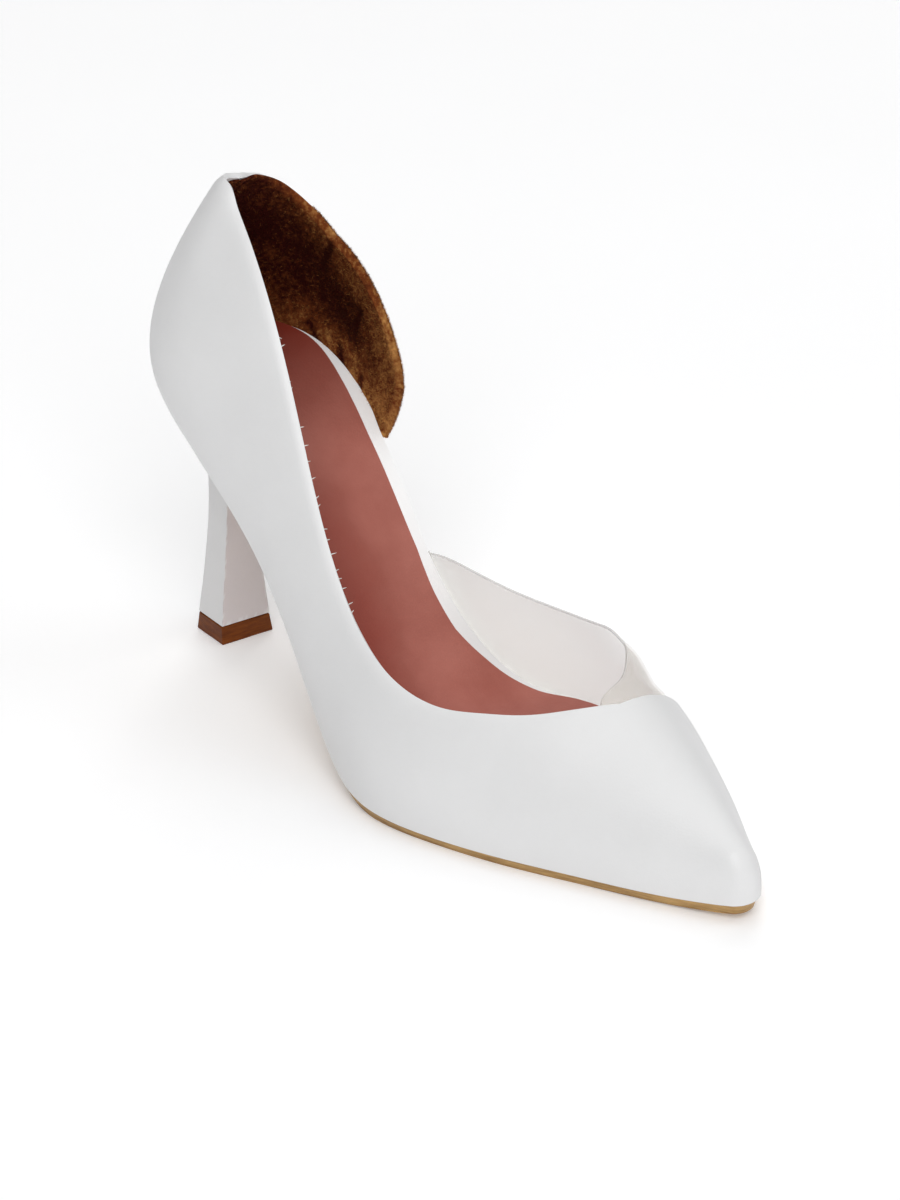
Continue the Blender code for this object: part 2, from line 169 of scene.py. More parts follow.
@dataclass(frozen=True)
class Last:
    """Form inside the shoe: every wall is a cubic curve from the feather line to the ridge.

    The fullness table holds shares of a section's size, in thousandths.
    """

    toe_centre: float = -96.8 * MM
    toe_turn: float = 7 * MM
    toe_taper: float = math.radians(28.5)
    toe_drop: float = 0.16
    heel_centre: float = 92 * MM
    heel_turn: float = 45 * MM
    seat_length: float = 31.5 * MM
    seat_power: float = 2.5
    breast: float = 86.5 * MM
    throat: float = -49.0 * MM
    vamp_foot: float = -29 * MM
    vamp_cut_power: float = 1.8
    girth_samples: int = 121
    slope_step: float = 0.2 * MM
    slope_share: float = 0.004
    bottom: Table = Table("place outer inner feather arch", (
        (-103, 0.5, 5.0, 6.0, 0),
        (-98.5, -1.6, 7.0, 5.3, 0),
        (-80, -10.5, 17.9, 3.8, 0),
        (-60, -19.3, 28.0, 3.4, 0),
        (-40, -28.1, 35.8, 3.3, 0),
        (-20, -35.1, 39.2, 3.3, 0),
        (0, -38.7, 38.7, 3.6, 0),
        (20, -35.3, 29.0, 7.4, 1.0),
        (40, -30.6, 21.5, 25.4, 2.6),
        (60, -28.0, 21.8, 48.6, 3.2),
        (80, -28.0, 25.4, 66.6, 2.0),
        (92, -28.0, 26.8, 75.6, 0.8),
        (106, -26.0, 26.0, 83.6, 0),
        (121, -25.0, 25.0, 88.6, 0),
    ))
    crown: Table = Table("place ridge height outer_half inner_half outer_flare inner_flare", (
        (-98.5, 2.0, 17.5, 0, 0, 0.6, 0.3),
        (-80, 4.0, 25.3, 0, 0, 1.2, 0.6),
        (-60, 4.5, 34.0, 0, 0, 2.0, 2.0),
        (-40, 3.5, 43.0, 0, 0, 2.5, 4.0),
        (-20, 1.5, 51.5, 0, 0, 3.0, 3.6),
        (0, 0.0, 64.0, 1.0, 1.0, 3.0, 3.2),
        (20, -1.0, 82.0, 2.5, 3.5, 3.5, 3.0),
        (40, -2.0, 106.0, 4.5, 9.0, 4.0, 3.0),
        (60, -1.5, 129.0, 5.5, 15.0, 4.6, 4.0),
        (80, -0.5, 146.0, 5.0, 14.0, 5.2, 5.0),
        (92, -0.5, 154.0, 3.0, 9.0, 6.9, 6.0),
        (137, -0.5, 158.6, 3.0, 3.0, 8.0, 8.0),
    ))
    fullness: Table = Table("place rise shoulder drop", (
        (-98.5, 600, 740, 0),
        (-80, 520, 700, 0),
        (-60, 470, 670, 0),
        (-40, 430, 640, 0),
        (-20, 400, 630, 30),
        (0, 360, 640, 100),
        (20, 340, 660, 180),
        (40, 320, 680, 250),
        (60, 300, 680, 290),
        (92, 270, 650, 320),
        (137, 200, 628, 372),
    ))

    @property
    def toe_end(self) -> float:
        """Place of the middle of the toe."""
        return self.toe_centre - self.toe_turn

    @property
    def back(self) -> float:
        """Place of the middle of the back."""
        return self.heel_centre + self.heel_turn

    def round_toe(self, steps: int) -> Array:
        """Places from the middle of the toe to where its round ends."""
        return np.linspace(self.toe_end, self.toe_centre, steps + 1)

    def stations(self, toe_steps: int, end: float, step: float) -> Array:
        """Places from the middle of the toe to an end, so many round the toe, then about a step apart."""
        behind = np.linspace(self.toe_centre, end, int((end - self.toe_centre) / step))
        return np.concatenate([self.round_toe(toe_steps), behind[1:]])

    def plan(self, side: Side, place: Array) -> tuple[Array, Array, Array, Array, Array]:
        """Section's pivot on the middle line, its direction and its reach to the feather line, in plan.

        Args:
            side: side of the foot.
            place: places along the shoe.

        Returns:
            Pivot x, pivot y, direction x, direction y and reach. Round the toe the reach is that of a
            straight tapering edge turned about the pivot, and the inner side's goes over into the outer's at
            the tip; round the heel it is a superellipse.
        """
        place = np.asarray(place, float)
        middle = np.clip(place, self.toe_centre, self.heel_centre)
        ridge = self.crown.at("ridge", middle)
        reach, tip = [s.value * (self.bottom.at(s.column, middle) - ridge) for s in (side, Side.OUTER)]
        toe = np.clip((self.toe_centre - place) / self.toe_turn, 0, 1) * np.pi / 2
        heel = np.clip((place - self.heel_centre) / self.heel_turn, 0, 1) * np.pi / 2
        taper = np.cos(self.toe_taper) / np.cos(np.maximum(self.toe_taper - toe, 0))
        reach = (reach + (tip - reach) * np.sin(toe)**2) * np.where(toe > 0, taper, 1)
        power = self.seat_power
        seat = (np.cos(heel) / reach)**power + (np.sin(heel) / self.seat_length)**power
        reach = np.where(heel > 0, seat**(-1 / power), reach)
        turn = heel - toe
        return ridge, middle, side.value * np.cos(turn), np.sin(turn), reach

    def feather(self, side: Side, y: Array) -> Array:
        """Height of the feather line, lifted along the arch on the inner side."""
        lift = self.bottom.at("arch", y) if side is Side.INNER else 0
        return self.bottom.at("feather", y) + lift

    def wall(self, side: Side, place: Array, share: Array) -> Array:
        """Points of the last's surface.

        The section is a cubic curve of four points: the feather line, a point above it leaning out, a
        shoulder and the ridge.

        Args:
            side: side of the foot.
            place: places along the shoe.
            share: 0 on the feather line to 1 on the ridge.

        Returns:
            Points, with the coordinates in the last axis.
        """
        pivot_x, pivot_y, to_x, to_y, reach = self.plan(side, place)
        foot = self.feather(side, pivot_y + to_y * reach)
        along = np.maximum(place, self.toe_centre)
        crown = self.crown.at("height", along)
        half = self.crown.at(side.column + "_half", along) * (along > self.throat)
        tall = crown - foot
        at_tip = np.maximum(-to_y, 0)
        drop = self.fullness.at("drop", along) + self.toe_drop * at_tip
        flare, tip_flare = [self.crown.at(s.column + "_flare", along) for s in (side, Side.OUTER)]
        outs = (
            reach,
            reach + flare + (tip_flare - flare) * at_tip**2,
            half + self.fullness.at("shoulder", along) * (reach - half),
            half,
        )
        ups = (foot, foot + self.fullness.at("rise", along) * tall, crown - drop * tall, crown)
        out, up = [sum(w * p for w, p in zip(bezier(share), points)) for points in (outs, ups)]
        return np.stack([pivot_x + to_x * out, pivot_y + to_y * out, up + 0 * out], -1)

    def inward(self, side: Side, place: Array, share: Array) -> Array:
        """Unit vectors into the shoe: the cross product of the surface's two slopes.

        Args:
            side: side of the foot.
            place: places along the shoe.
            share: 0 on the feather line to 1 on the ridge.

        Returns:
            A vector for each point.
        """
        step, bit = self.slope_step, self.slope_share
        along = self.wall(side, place + step, share) - self.wall(side, place - step, share)
        above = self.wall(side, place, np.minimum(share + bit, 1))
        up = above - self.wall(side, place, np.maximum(share - bit, 0))
        return unit(np.cross(up, along) * side.value)

    def under(self, side: Side, place: Array, share: Array, depth: float) -> Array:
        """Points a given depth under the surface."""
        return self.wall(side, place, share) + self.inward(side, place, share) * depth

    def lengths(self, side: Side, places: Array) -> Array:
        """Wall lengths from the feather line to evenly spread shares, a row per place."""
        return run(self.wall(side, places[:, None], np.linspace(0, 1, self.girth_samples)[None, :]))

    def share_at(self, side: Side, places: Array, girths: Array) -> Array:
        """Shares that lie given wall lengths up from the feather line."""
        shares = np.linspace(0, 1, self.girth_samples)
        rows = zip(girths, self.lengths(side, places))
        return np.array([np.interp(girth, lengths, shares) for girth, lengths in rows])

    def vamp_cut(self, share: Array) -> Array:
        """Place of the vamp's inner edge, slanting back from the throat to the feather line."""
        return self.throat + (self.vamp_foot - self.throat) * (1 - share)**self.vamp_cut_power

    def bottom_edge(self, side: Side, places: Array, inset: Array | float) -> Array:
        """Points level with the feather line, a given way in from it along each section.

        Args:
            side: side of the foot.
            places: places along the shoe.
            inset: how far in the points lie, one way for all or one for each place.

        Returns:
            A point for each place.
        """
        pivot_x, pivot_y, to_x, to_y, reach = self.plan(side, places)
        height = self.feather(side, pivot_y + to_y * reach)
        within = reach - inset
        return np.stack([pivot_x + to_x * within, pivot_y + to_y * within, height], -1)


LAST = Last()


def make_piece(name: str, points: Array, faces: Array, tones: Array) -> Piece:
    """Makes a mesh as an object that rides on the shoe.

    Args:
        name: name of the piece.
        points: its points, in the tables' frame.
        faces: the points of each face.
        tones: a number per point that the finish may read.

    Returns:
        The object.
    """
    mesh = bpy.data.meshes.new(name)
    mesh.from_pydata((points - BOX_MIDDLE).tolist(), [], faces.tolist())
    attribute = mesh.attributes.new("tone", "FLOAT", "POINT")
    attribute.data.foreach_set("value", tones.astype(np.float32))
    obj = bpy.data.objects.new(name, mesh)
    bpy.context.collection.objects.link(obj)
    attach(obj, BODY)
    return obj


@dataclass
class Skin:
    """Grids of points gathered into the mesh of one piece.

    Points closer than the merge become one, and an edge over the crease angle shows sharp.
    """

    merge: float = 0.01 * MM
    crease: float = math.radians(38)

    def __post_init__(self) -> None:
        """Starts with no grids."""
        self.points: list[Array] = []
        self.faces: list[Array] = []
        self.tones: list[Array] = []
        self.count = 0

    def grid(self, points: Array, flip: bool = False, tone: Array | float = 0.0) -> None:
        """Adds a grid as quads.

        Args:
            points: rows by columns of points.
            flip: whether the faces turn the other way.
            tone: a number for all the points or for each that the finish may read.
        """
        rows, columns = points.shape[:2]
        index = np.arange(rows * columns).reshape(rows, columns) + self.count
        corners = (index[:-1, :-1], index[:-1, 1:], index[1:, 1:], index[1:, :-1])
        quads = np.stack(corners, -1).reshape(-1, 4)
        self.points.append(points.reshape(-1, 3))
        self.faces.append(quads[:, ::-1] if flip else quads)
        self.tones.append(np.broadcast_to(tone, (rows, columns)).ravel())
        self.count += rows * columns

    def layer(self, top: Array, bottom: Array, tone: Array | float = 0.0, foot_tone: float = 0.0) -> None:
        """Adds the closed skin of a slab between two grids of one size.

        Args:
            top: upper grid.
            bottom: lower grid.
            tone: numbers of the top's points.
            foot_tone: number of the bottom and the foot of the edges, which start from nothing at their top.
        """
        self.grid(top, tone=tone)
        self.grid(bottom, flip=True, tone=foot_tone)
        for edge in (np.s_[0], np.s_[-1], np.s_[:, 0], np.s_[:, -1]):
            self.grid(np.stack([top[edge], bottom[edge]]), tone=np.array([[0.0], [foot_tone]]))

    def cap(self, ring: Array) -> None:
        """Adds a fan of faces from a ring of points to its middle."""
        self.grid(np.stack([ring, np.broadcast_to(ring[:-1].mean(axis=0), ring.shape)]))

    def build(self, name: str, closed: bool = True) -> Piece:
        """Makes the piece's object.

        Args:
            name: name of the piece.
            closed: whether the skin closes, so that its faces can be turned outwards.

        Returns:
            The object, riding on the shoe.
        """
        obj = make_piece(name, *[np.concatenate(part) for part in (self.points, self.faces, self.tones)])
        bm = bmesh.new()
        bm.from_mesh(obj.data)
        bmesh.ops.remove_doubles(bm, verts=bm.verts, dist=self.merge)
        bmesh.ops.dissolve_degenerate(bm, edges=bm.edges, dist=self.merge / 3)
        if closed:
            bmesh.ops.recalc_face_normals(bm, faces=bm.faces)
        bm.to_mesh(obj.data)
        bm.free()
        obj.data.shade_smooth()
        obj.data.set_sharp_from_angle(angle=self.crease)
        return obj


def thicken(
        obj: Piece, thickness: float, outwards: bool = False, inner_slot: int = 0, rim_slot: int = 0,
) -> None:
    """Gives a sheet that faces outwards its wall.

    Args:
        obj: the sheet.
        thickness: wall thickness.
        outwards: whether the wall grows outwards from the sheet, not inwards.
        inner_slot: how many material slots on the inner face's finish is.
        rim_slot: how many material slots on the rim's finish is.
    """
    wall = obj.modifiers.new("wall", "SOLIDIFY")
    wall.thickness = thickness
    wall.offset = 1 if outwards else -1
    wall.use_even_offset = True
    wall.material_offset = inner_slot
    wall.material_offset_rim = rim_slot


def soften(obj: Piece, width: float, segments: int = 3, angle: float = math.radians(50)) -> None:
    """Rounds a piece's edges.

    Args:
        obj: the piece.
        width: how far from the edge the round starts.
        segments: faces across the round.
        angle: turn over which an edge is rounded.
    """
    bevel = obj.modifiers.new("edge", "BEVEL")
    bevel.width = width
    bevel.segments = segments
    bevel.limit_method = "ANGLE"
    bevel.angle_limit = angle


@dataclass(frozen=True)
class Grain:
    """Soft noise on a piece's own coordinates: features per metre, layers, roughness and stretch."""

    scale: float
    layers: float = 3.0
    rough: float = 0.5
    stretch: Triple = (1, 1, 1)


class Shade:
    """Node tree of one material, with short ways to make its nodes."""

    mix_inputs = (0, 6, 7)
    mix_colour = 2

    def __init__(self, name: str) -> None:
        """Makes a material with its Principled shader.

        Args:
            name: name of the material.
        """
        self.material = bpy.data.materials.new(name)
        self.material.use_nodes = True
        self.tree = self.material.node_tree
        self.shader = self.tree.nodes["Principled BSDF"]
        self.coords = self.tree.nodes.new("ShaderNodeTexCoord").outputs["Object"]

    def feed(self, node: bpy.types.Node, inputs: dict[str | int, Feed]) -> bpy.types.Node:
        """Gives a node's sockets their links and values.

        Args:
            node: node to feed.
            inputs: an output, number or colour by the socket's number or name; underscores stand for spaces.

        Returns:
            The node.
        """
        for key, value in inputs.items():
            socket = node.inputs[key.replace("_", " ") if isinstance(key, str) else key]
            if isinstance(value, Socket):
                self.tree.links.new(value, socket)
            else:
                socket.default_value = value
        return node

    def node(self, kind: str, **inputs: Feed) -> bpy.types.Node:
        """Makes a node of a kind and feeds it."""
        return self.feed(self.tree.nodes.new("ShaderNode" + kind), inputs)

    def put(self, **inputs: Feed) -> None:
        """Feeds the shader."""
        self.feed(self.shader, inputs)

    def noise(self, grain: Grain) -> Socket:
        """Soft noise of a grain."""
        at = self.node("Mapping", Vector=self.coords, Scale=grain.stretch).outputs["Vector"]
        look = {"Scale": grain.scale, "Detail": grain.layers, "Roughness": grain.rough}
        return self.node("TexNoise", Vector=at, **look).outputs["Fac"]

    def cells(self, scale: float) -> Socket:
        """Distance to the nearest of scattered points, as in a leather's grain."""
        return self.node("TexVoronoi", Vector=self.coords, Scale=scale).outputs["Distance"]

    def tone(self) -> Socket:
        """The number that each point of the piece carries."""
        node = self.node("Attribute")
        node.attribute_name = "tone"
        return node.outputs["Fac"]

    def ramp(self, factor: Socket, places: tuple[float, ...], colours: tuple[Colour, ...]) -> Socket:
        """Colours along a factor.

        Args:
            factor: number to read.
            places: where each colour stands.
            colours: the colours.

        Returns:
            The colour output.
        """
        node = self.node("ValToRGB", Fac=factor)
        elements = node.color_ramp.elements
        while len(elements) < len(places):
            elements.new(1.0)
        for element, place, colour in zip(elements, places, colours):
            element.position = place
            element.color = (*colour, 1)
        return node.outputs["Color"]

    def math(self, how: Sum, first: Socket, second: Socket | float) -> Socket:
        """Result of an operation on two numbers."""
        node = self.feed(self.node("Math"), {0: first, 1: second})
        node.operation = how.value
        return node.outputs["Value"]

    def blend(self, factor: Socket, first: Socket, second: Socket) -> Socket:
        """Mix of two colours.

        Args:
            factor: share of the second colour.
            first: first colour.
            second: second colour.

        Returns:
            The colour output.
        """
        node = self.node("Mix")
        node.data_type = "RGBA"
        self.feed(node, dict(zip(self.mix_inputs, (factor, first, second))))
        return node.outputs[self.mix_colour]

    def bump(self, height: Socket, depth: float) -> None:
        """Raises the surface by a height map of a given depth."""
        self.put(Normal=self.node("Bump", Strength=1.0, Distance=depth, Height=height).outputs["Normal"])

    def span(self, grain: Grain, ends: Span) -> Socket:
        """Number from low to high along the noise of a grain."""
        node = self.node("MapRange", Value=self.noise(grain), To_Min=ends[0], To_Max=ends[1])
        return node.outputs["Result"]


@dataclass(frozen=True)
class SmoothLeather:
    """Smooth finished leather: fine grain, slow change of colour and gloss, a second colour by the tone."""

    name: str
    light: Colour
    dark: Colour
    gloss: Span = (0.36, 0.48)
    coat: float = 0.07
    toned: Colour | None = None
    toned_shade: float = 0.95
    # painted_glow: light the leather gives off of its own, though it is no lamp; painted light
    painted_glow: float = 0.0
    ends: Span = (0.3, 0.7)
    patches: Grain = Grain(38, 4)
    sheen: Grain = Grain(160)
    pores: float = 1500.0
    creping: Grain = Grain(600, 4)
    waves: Grain = Grain(110, 2)
    wave_height: float = 3.0
    relief: float = 0.03 * MM

    def material(self) -> bpy.types.Material:
        """Makes the finish.

        Returns:
            The material.
        """
        shade = Shade(self.name)
        shade.put(Coat_Weight=self.coat, Coat_Roughness=0.3, Specular_IOR_Level=0.4)
        # Painted glow: emission that brightens the leather as painted light
        shade.put(Emission_Color=WHITE_LIGHT, Emission_Strength=self.painted_glow)
        patches = shade.noise(self.patches)
        colour = shade.ramp(patches, self.ends, (self.dark, self.light))
        if self.toned:
            dark_toned = tuple(self.toned_shade * part for part in self.toned)
            toned = shade.ramp(patches, self.ends, (dark_toned, self.toned))
            colour = shade.blend(shade.tone(), colour, toned)
        shade.put(Base_Color=colour, Roughness=shade.span(self.sheen, self.gloss))
        pores = shade.math(Sum.ADD, shade.cells(self.pores), shade.noise(self.creping))
        waves = shade.math(Sum.MULTIPLY, shade.noise(self.waves), self.wave_height)
        shade.bump(shade.math(Sum.ADD, pores, waves), self.relief)
        return shade.material


@dataclass(frozen=True)
class NappedSuede:
    """Napped lining: colour from the piece's tone, broken by patches where the nap lies another way."""

    name: str
    dark: Colour = (0.040, 0.0026, 0.0022)
    middle: Colour = (0.21, 0.054, 0.013)
    golden: Colour = (0.66, 0.33, 0.10)
    stops: Triple = (0.12, 0.5, 0.92)
    sheen: Colour = (0.55, 0.32, 0.14)
    patches: Grain = Grain(130, 5, 0.65)
    patch_depth: float = 0.75
    fibre: Grain = Grain(700, 3, 0.6)
    fibre_depth: float = 0.9
    pile: Grain = Grain(1400, 4, 0.7)
    relief: float = 0.25 * MM

    def material(self) -> bpy.types.Material:
        """Makes the finish.

        Returns:
            The material.
        """
        shade = Shade(self.name)
        shade.put(Roughness=0.95, Specular_IOR_Level=0.1, Sheen_Weight=0.08, Sheen_Roughness=0.5)
        shade.put(Sheen_Tint=(*self.sheen, 1))
        patches, fibre = [
            shade.math(Sum.MULTIPLY, shade.math(Sum.SUBTRACT, shade.noise(grain), NOISE_MIDDLE), depth)
            for grain, depth in ((self.patches, self.patch_depth), (self.fibre, self.fibre_depth))
        ]
        level = shade.math(Sum.ADD, shade.tone(), shade.math(Sum.ADD, patches, fibre))
        shade.put(Base_Color=shade.ramp(level, self.stops, (self.dark, self.middle, self.golden)))
        shade.bump(shade.noise(self.pile), self.relief)
        return shade.material


@dataclass(frozen=True)
class SockLeather:
    """Matt dyed leather of the sock, darkened towards a deep colour by the piece's tone as painted shade."""

    name: str
    light: Colour = (0.45, 0.148, 0.112)
    dark: Colour = (0.35, 0.095, 0.068)
    # deep: colour that the painted shade darkens the sock towards
    deep: Colour = (0.28, 0.030, 0.014)
    stops: Triple = (0.1, 0.62, 0.82)
    patches: Grain = Grain(34, 4, 0.55)
    patch_depth: float = 0.6
    patch_base: float = 0.44
    sheen: Grain = Grain(220)
    gloss: Span = (0.5, 0.66)
    pores: float = 1300.0
    creping: Grain = Grain(700, 4)
    relief: float = 0.05 * MM

    def material(self) -> bpy.types.Material:
        """Makes the finish.

        Returns:
            The material.
        """
        shade = Shade(self.name)
        shade.put(Specular_IOR_Level=0.35, Coat_Weight=0.05, Coat_Roughness=0.5)
        patches = shade.math(Sum.MULTIPLY, shade.noise(self.patches), self.patch_depth)
        level = shade.math(Sum.SUBTRACT, shade.math(Sum.ADD, patches, self.patch_base), shade.tone())
        shade.put(Base_Color=shade.ramp(level, self.stops, (self.deep, self.dark, self.light)))
        shade.put(Roughness=shade.span(self.sheen, self.gloss))
        shade.bump(shade.math(Sum.ADD, shade.cells(self.pores), shade.noise(self.creping)), self.relief)
        return shade.material


@dataclass(frozen=True)
class PlainFinish:
    """Finish of two colours mixed by one grain, with gloss and relief from grains of their own.

    The piece's tone shifts the mix by the tone shift, and sockets that are the same all over are listed by
    name.
    """

    name: str
    light: Colour
    dark: Colour
    patches: Grain
    ends: Span = (0.3, 0.7)
    tone_shift: float = 0.0
    sheen: Grain | None = None
    gloss: Span = (0.4, 0.6)
    rough: Grain | None = None
    relief: float = 0.05 * MM
    sockets: tuple[tuple[str, float | tuple[float, ...]], ...] = ()

    def material(self) -> bpy.types.Material:
        """Makes the finish.

        Returns:
            The material.
        """
        shade = Shade(self.name)
        shade.put(**dict(self.sockets))
        mix = shade.noise(self.patches)
        if self.tone_shift:
            mix = shade.math(Sum.ADD, mix, shade.math(Sum.MULTIPLY, shade.tone(), self.tone_shift))
        shade.put(Base_Color=shade.ramp(mix, self.ends, (self.dark, self.light)))
        if self.sheen:
            shade.put(Roughness=shade.span(self.sheen, self.gloss))
        if self.rough:
            shade.bump(shade.noise(self.rough), self.relief)
        return shade.material


WHITE_LEATHER = SmoothLeather("white_leather", (0.83, 0.83, 0.832), (0.80, 0.80, 0.802))
# Board leather: a painted glow brightens the white rim, and its second colour is painted shade on its top
# towards the toe
BOARD_LEATHER = SmoothLeather(
    "board_leather", (0.93, 0.93, 0.925), (0.90, 0.90, 0.895), toned=(0.74, 0.735, 0.73), painted_glow=0.1,
)
# Heel leather's second colour is painted shade on the breast, greyer and darker than the sides
HEEL_LEATHER = SmoothLeather(
    "heel_leather", (0.80, 0.795, 0.795), (0.765, 0.76, 0.76), gloss=(0.34, 0.45), toned=(0.69, 0.64, 0.645),
)
# Quarter lining's second colour is the white leather folded in under the topline and along the foot; it is
# set lighter than the white leather outside, painted light on strips that lie in shade
QUARTER_LINING = SmoothLeather(
    "quarter_lining", (0.40, 0.17, 0.13), (0.33, 0.12, 0.095), gloss=(0.5, 0.65), coat=0.03,
    toned=(0.95, 0.95, 0.95),
)
# Clear soft plastic: a thin warm grey veil on each face, glossy, with faint ripples
CLEAR_SHEET = PlainFinish(
    "clear_plastic", (0.73, 0.69, 0.60), (0.70, 0.66, 0.57), Grain(25), sheen=Grain(200), gloss=(0.06, 0.14),
    rough=Grain(40, 1), relief=0.1 * MM, sockets=(("IOR", 1.42), ("Alpha", 0.22)),
)
# Cut edge of the clear sheet, where light gathers into a soft grey
CUT_EDGE = PlainFinish(
    "clear_edge", (0.58, 0.56, 0.54), (0.50, 0.48, 0.46), Grain(400),
    sockets=(("Roughness", 0.25), ("IOR", 1.42), ("Alpha", 0.5)),
)
# Waxed edge of sole leather: fibres along the edge in lighter and darker tan, darker towards the floor
SOLE_EDGE = PlainFinish(
    "sole_leather", (0.63, 0.395, 0.15), (0.27, 0.14, 0.04), Grain(90, 5, 0.65, (1, 1, 14)),
    ends=(0.2, 0.62), tone_shift=-0.2, sheen=Grain(240), gloss=(0.4, 0.62),
    rough=Grain(420, 4, 0.6, (1, 1, 5)), relief=0.06 * MM, sockets=(("Specular_IOR_Level", 0.4),),
)
# Hard brown heel tip with fine layers and scuffs
LIFT_LAYERS = PlainFinish(
    "top_lift", (0.22, 0.055, 0.003), (0.10, 0.020, 0.001), Grain(160, 5, 0.7, (1, 1, 8)),
    ends=(0.28, 0.72), sheen=Grain(500), gloss=(0.38, 0.6),
    rough=Grain(900, 4, 0.6, (1, 1, 4)), sockets=(("Specular_IOR_Level", 0.2),),
)
# Twisted sewing thread
THREAD = PlainFinish(
    "white_thread", (0.84, 0.83, 0.80), (0.66, 0.64, 0.60), Grain(2600, 2),
    ends=(0.35, 0.65), rough=Grain(2600, 2), sockets=(("Roughness", 0.7),),
)
# Plain pale floor of the studio
PALE_FLOOR = PlainFinish(
    "pale_floor", (0.925, 0.925, 0.93), (0.915, 0.915, 0.92), Grain(6, 2),
    sockets=(
        ("Roughness", 0.9), ("Specular_IOR_Level", 0.1),
        ("Emission_Color", WHITE_LIGHT), ("Emission_Strength", 0.18),
    ),
)


def dress(obj: Piece, slot: str, *finishes: bpy.types.Material) -> None:
    """Gives a piece its materials."""
    for finish in finishes:
        obj.data.materials.append(finish)


def report(obj: Piece) -> None:
    """Logs a finished piece."""
    LOG.info("%s: %d faces", obj.name, len(obj.data.polygons))


@dataclass
class Topline:
    """Edge line of a wall: places along the shoe and wall lengths up from the feather line."""

    side: Side
    places: Array
    girths: Array
    trim_fade: float = 12 * MM

    def even(self, count: int, trim: float = 0.0) -> tuple[Array, Array]:
        """Evenly spaced places and shares on a smooth line through the rows.

        Args:
            count: how many points.
            trim: how far inside the line the points lie; this grows from nothing at the line's start.

        Returns:
            Places and shares.
        """
        rows = np.stack([self.places, self.girths], -1)
        knots = run(rows)
        at = np.linspace(0, knots[-1], count)
        line = spline(knots, rows, at)
        way = unit(np.gradient(line, axis=0))
        inside = np.stack([-way[:, 1], way[:, 0]], -1)
        line = line + inside * (trim * ease(0, self.trim_fade, at))[:, None]
        return line[:, 0], LAST.share_at(self.side, line[:, 0], line[:, 1])


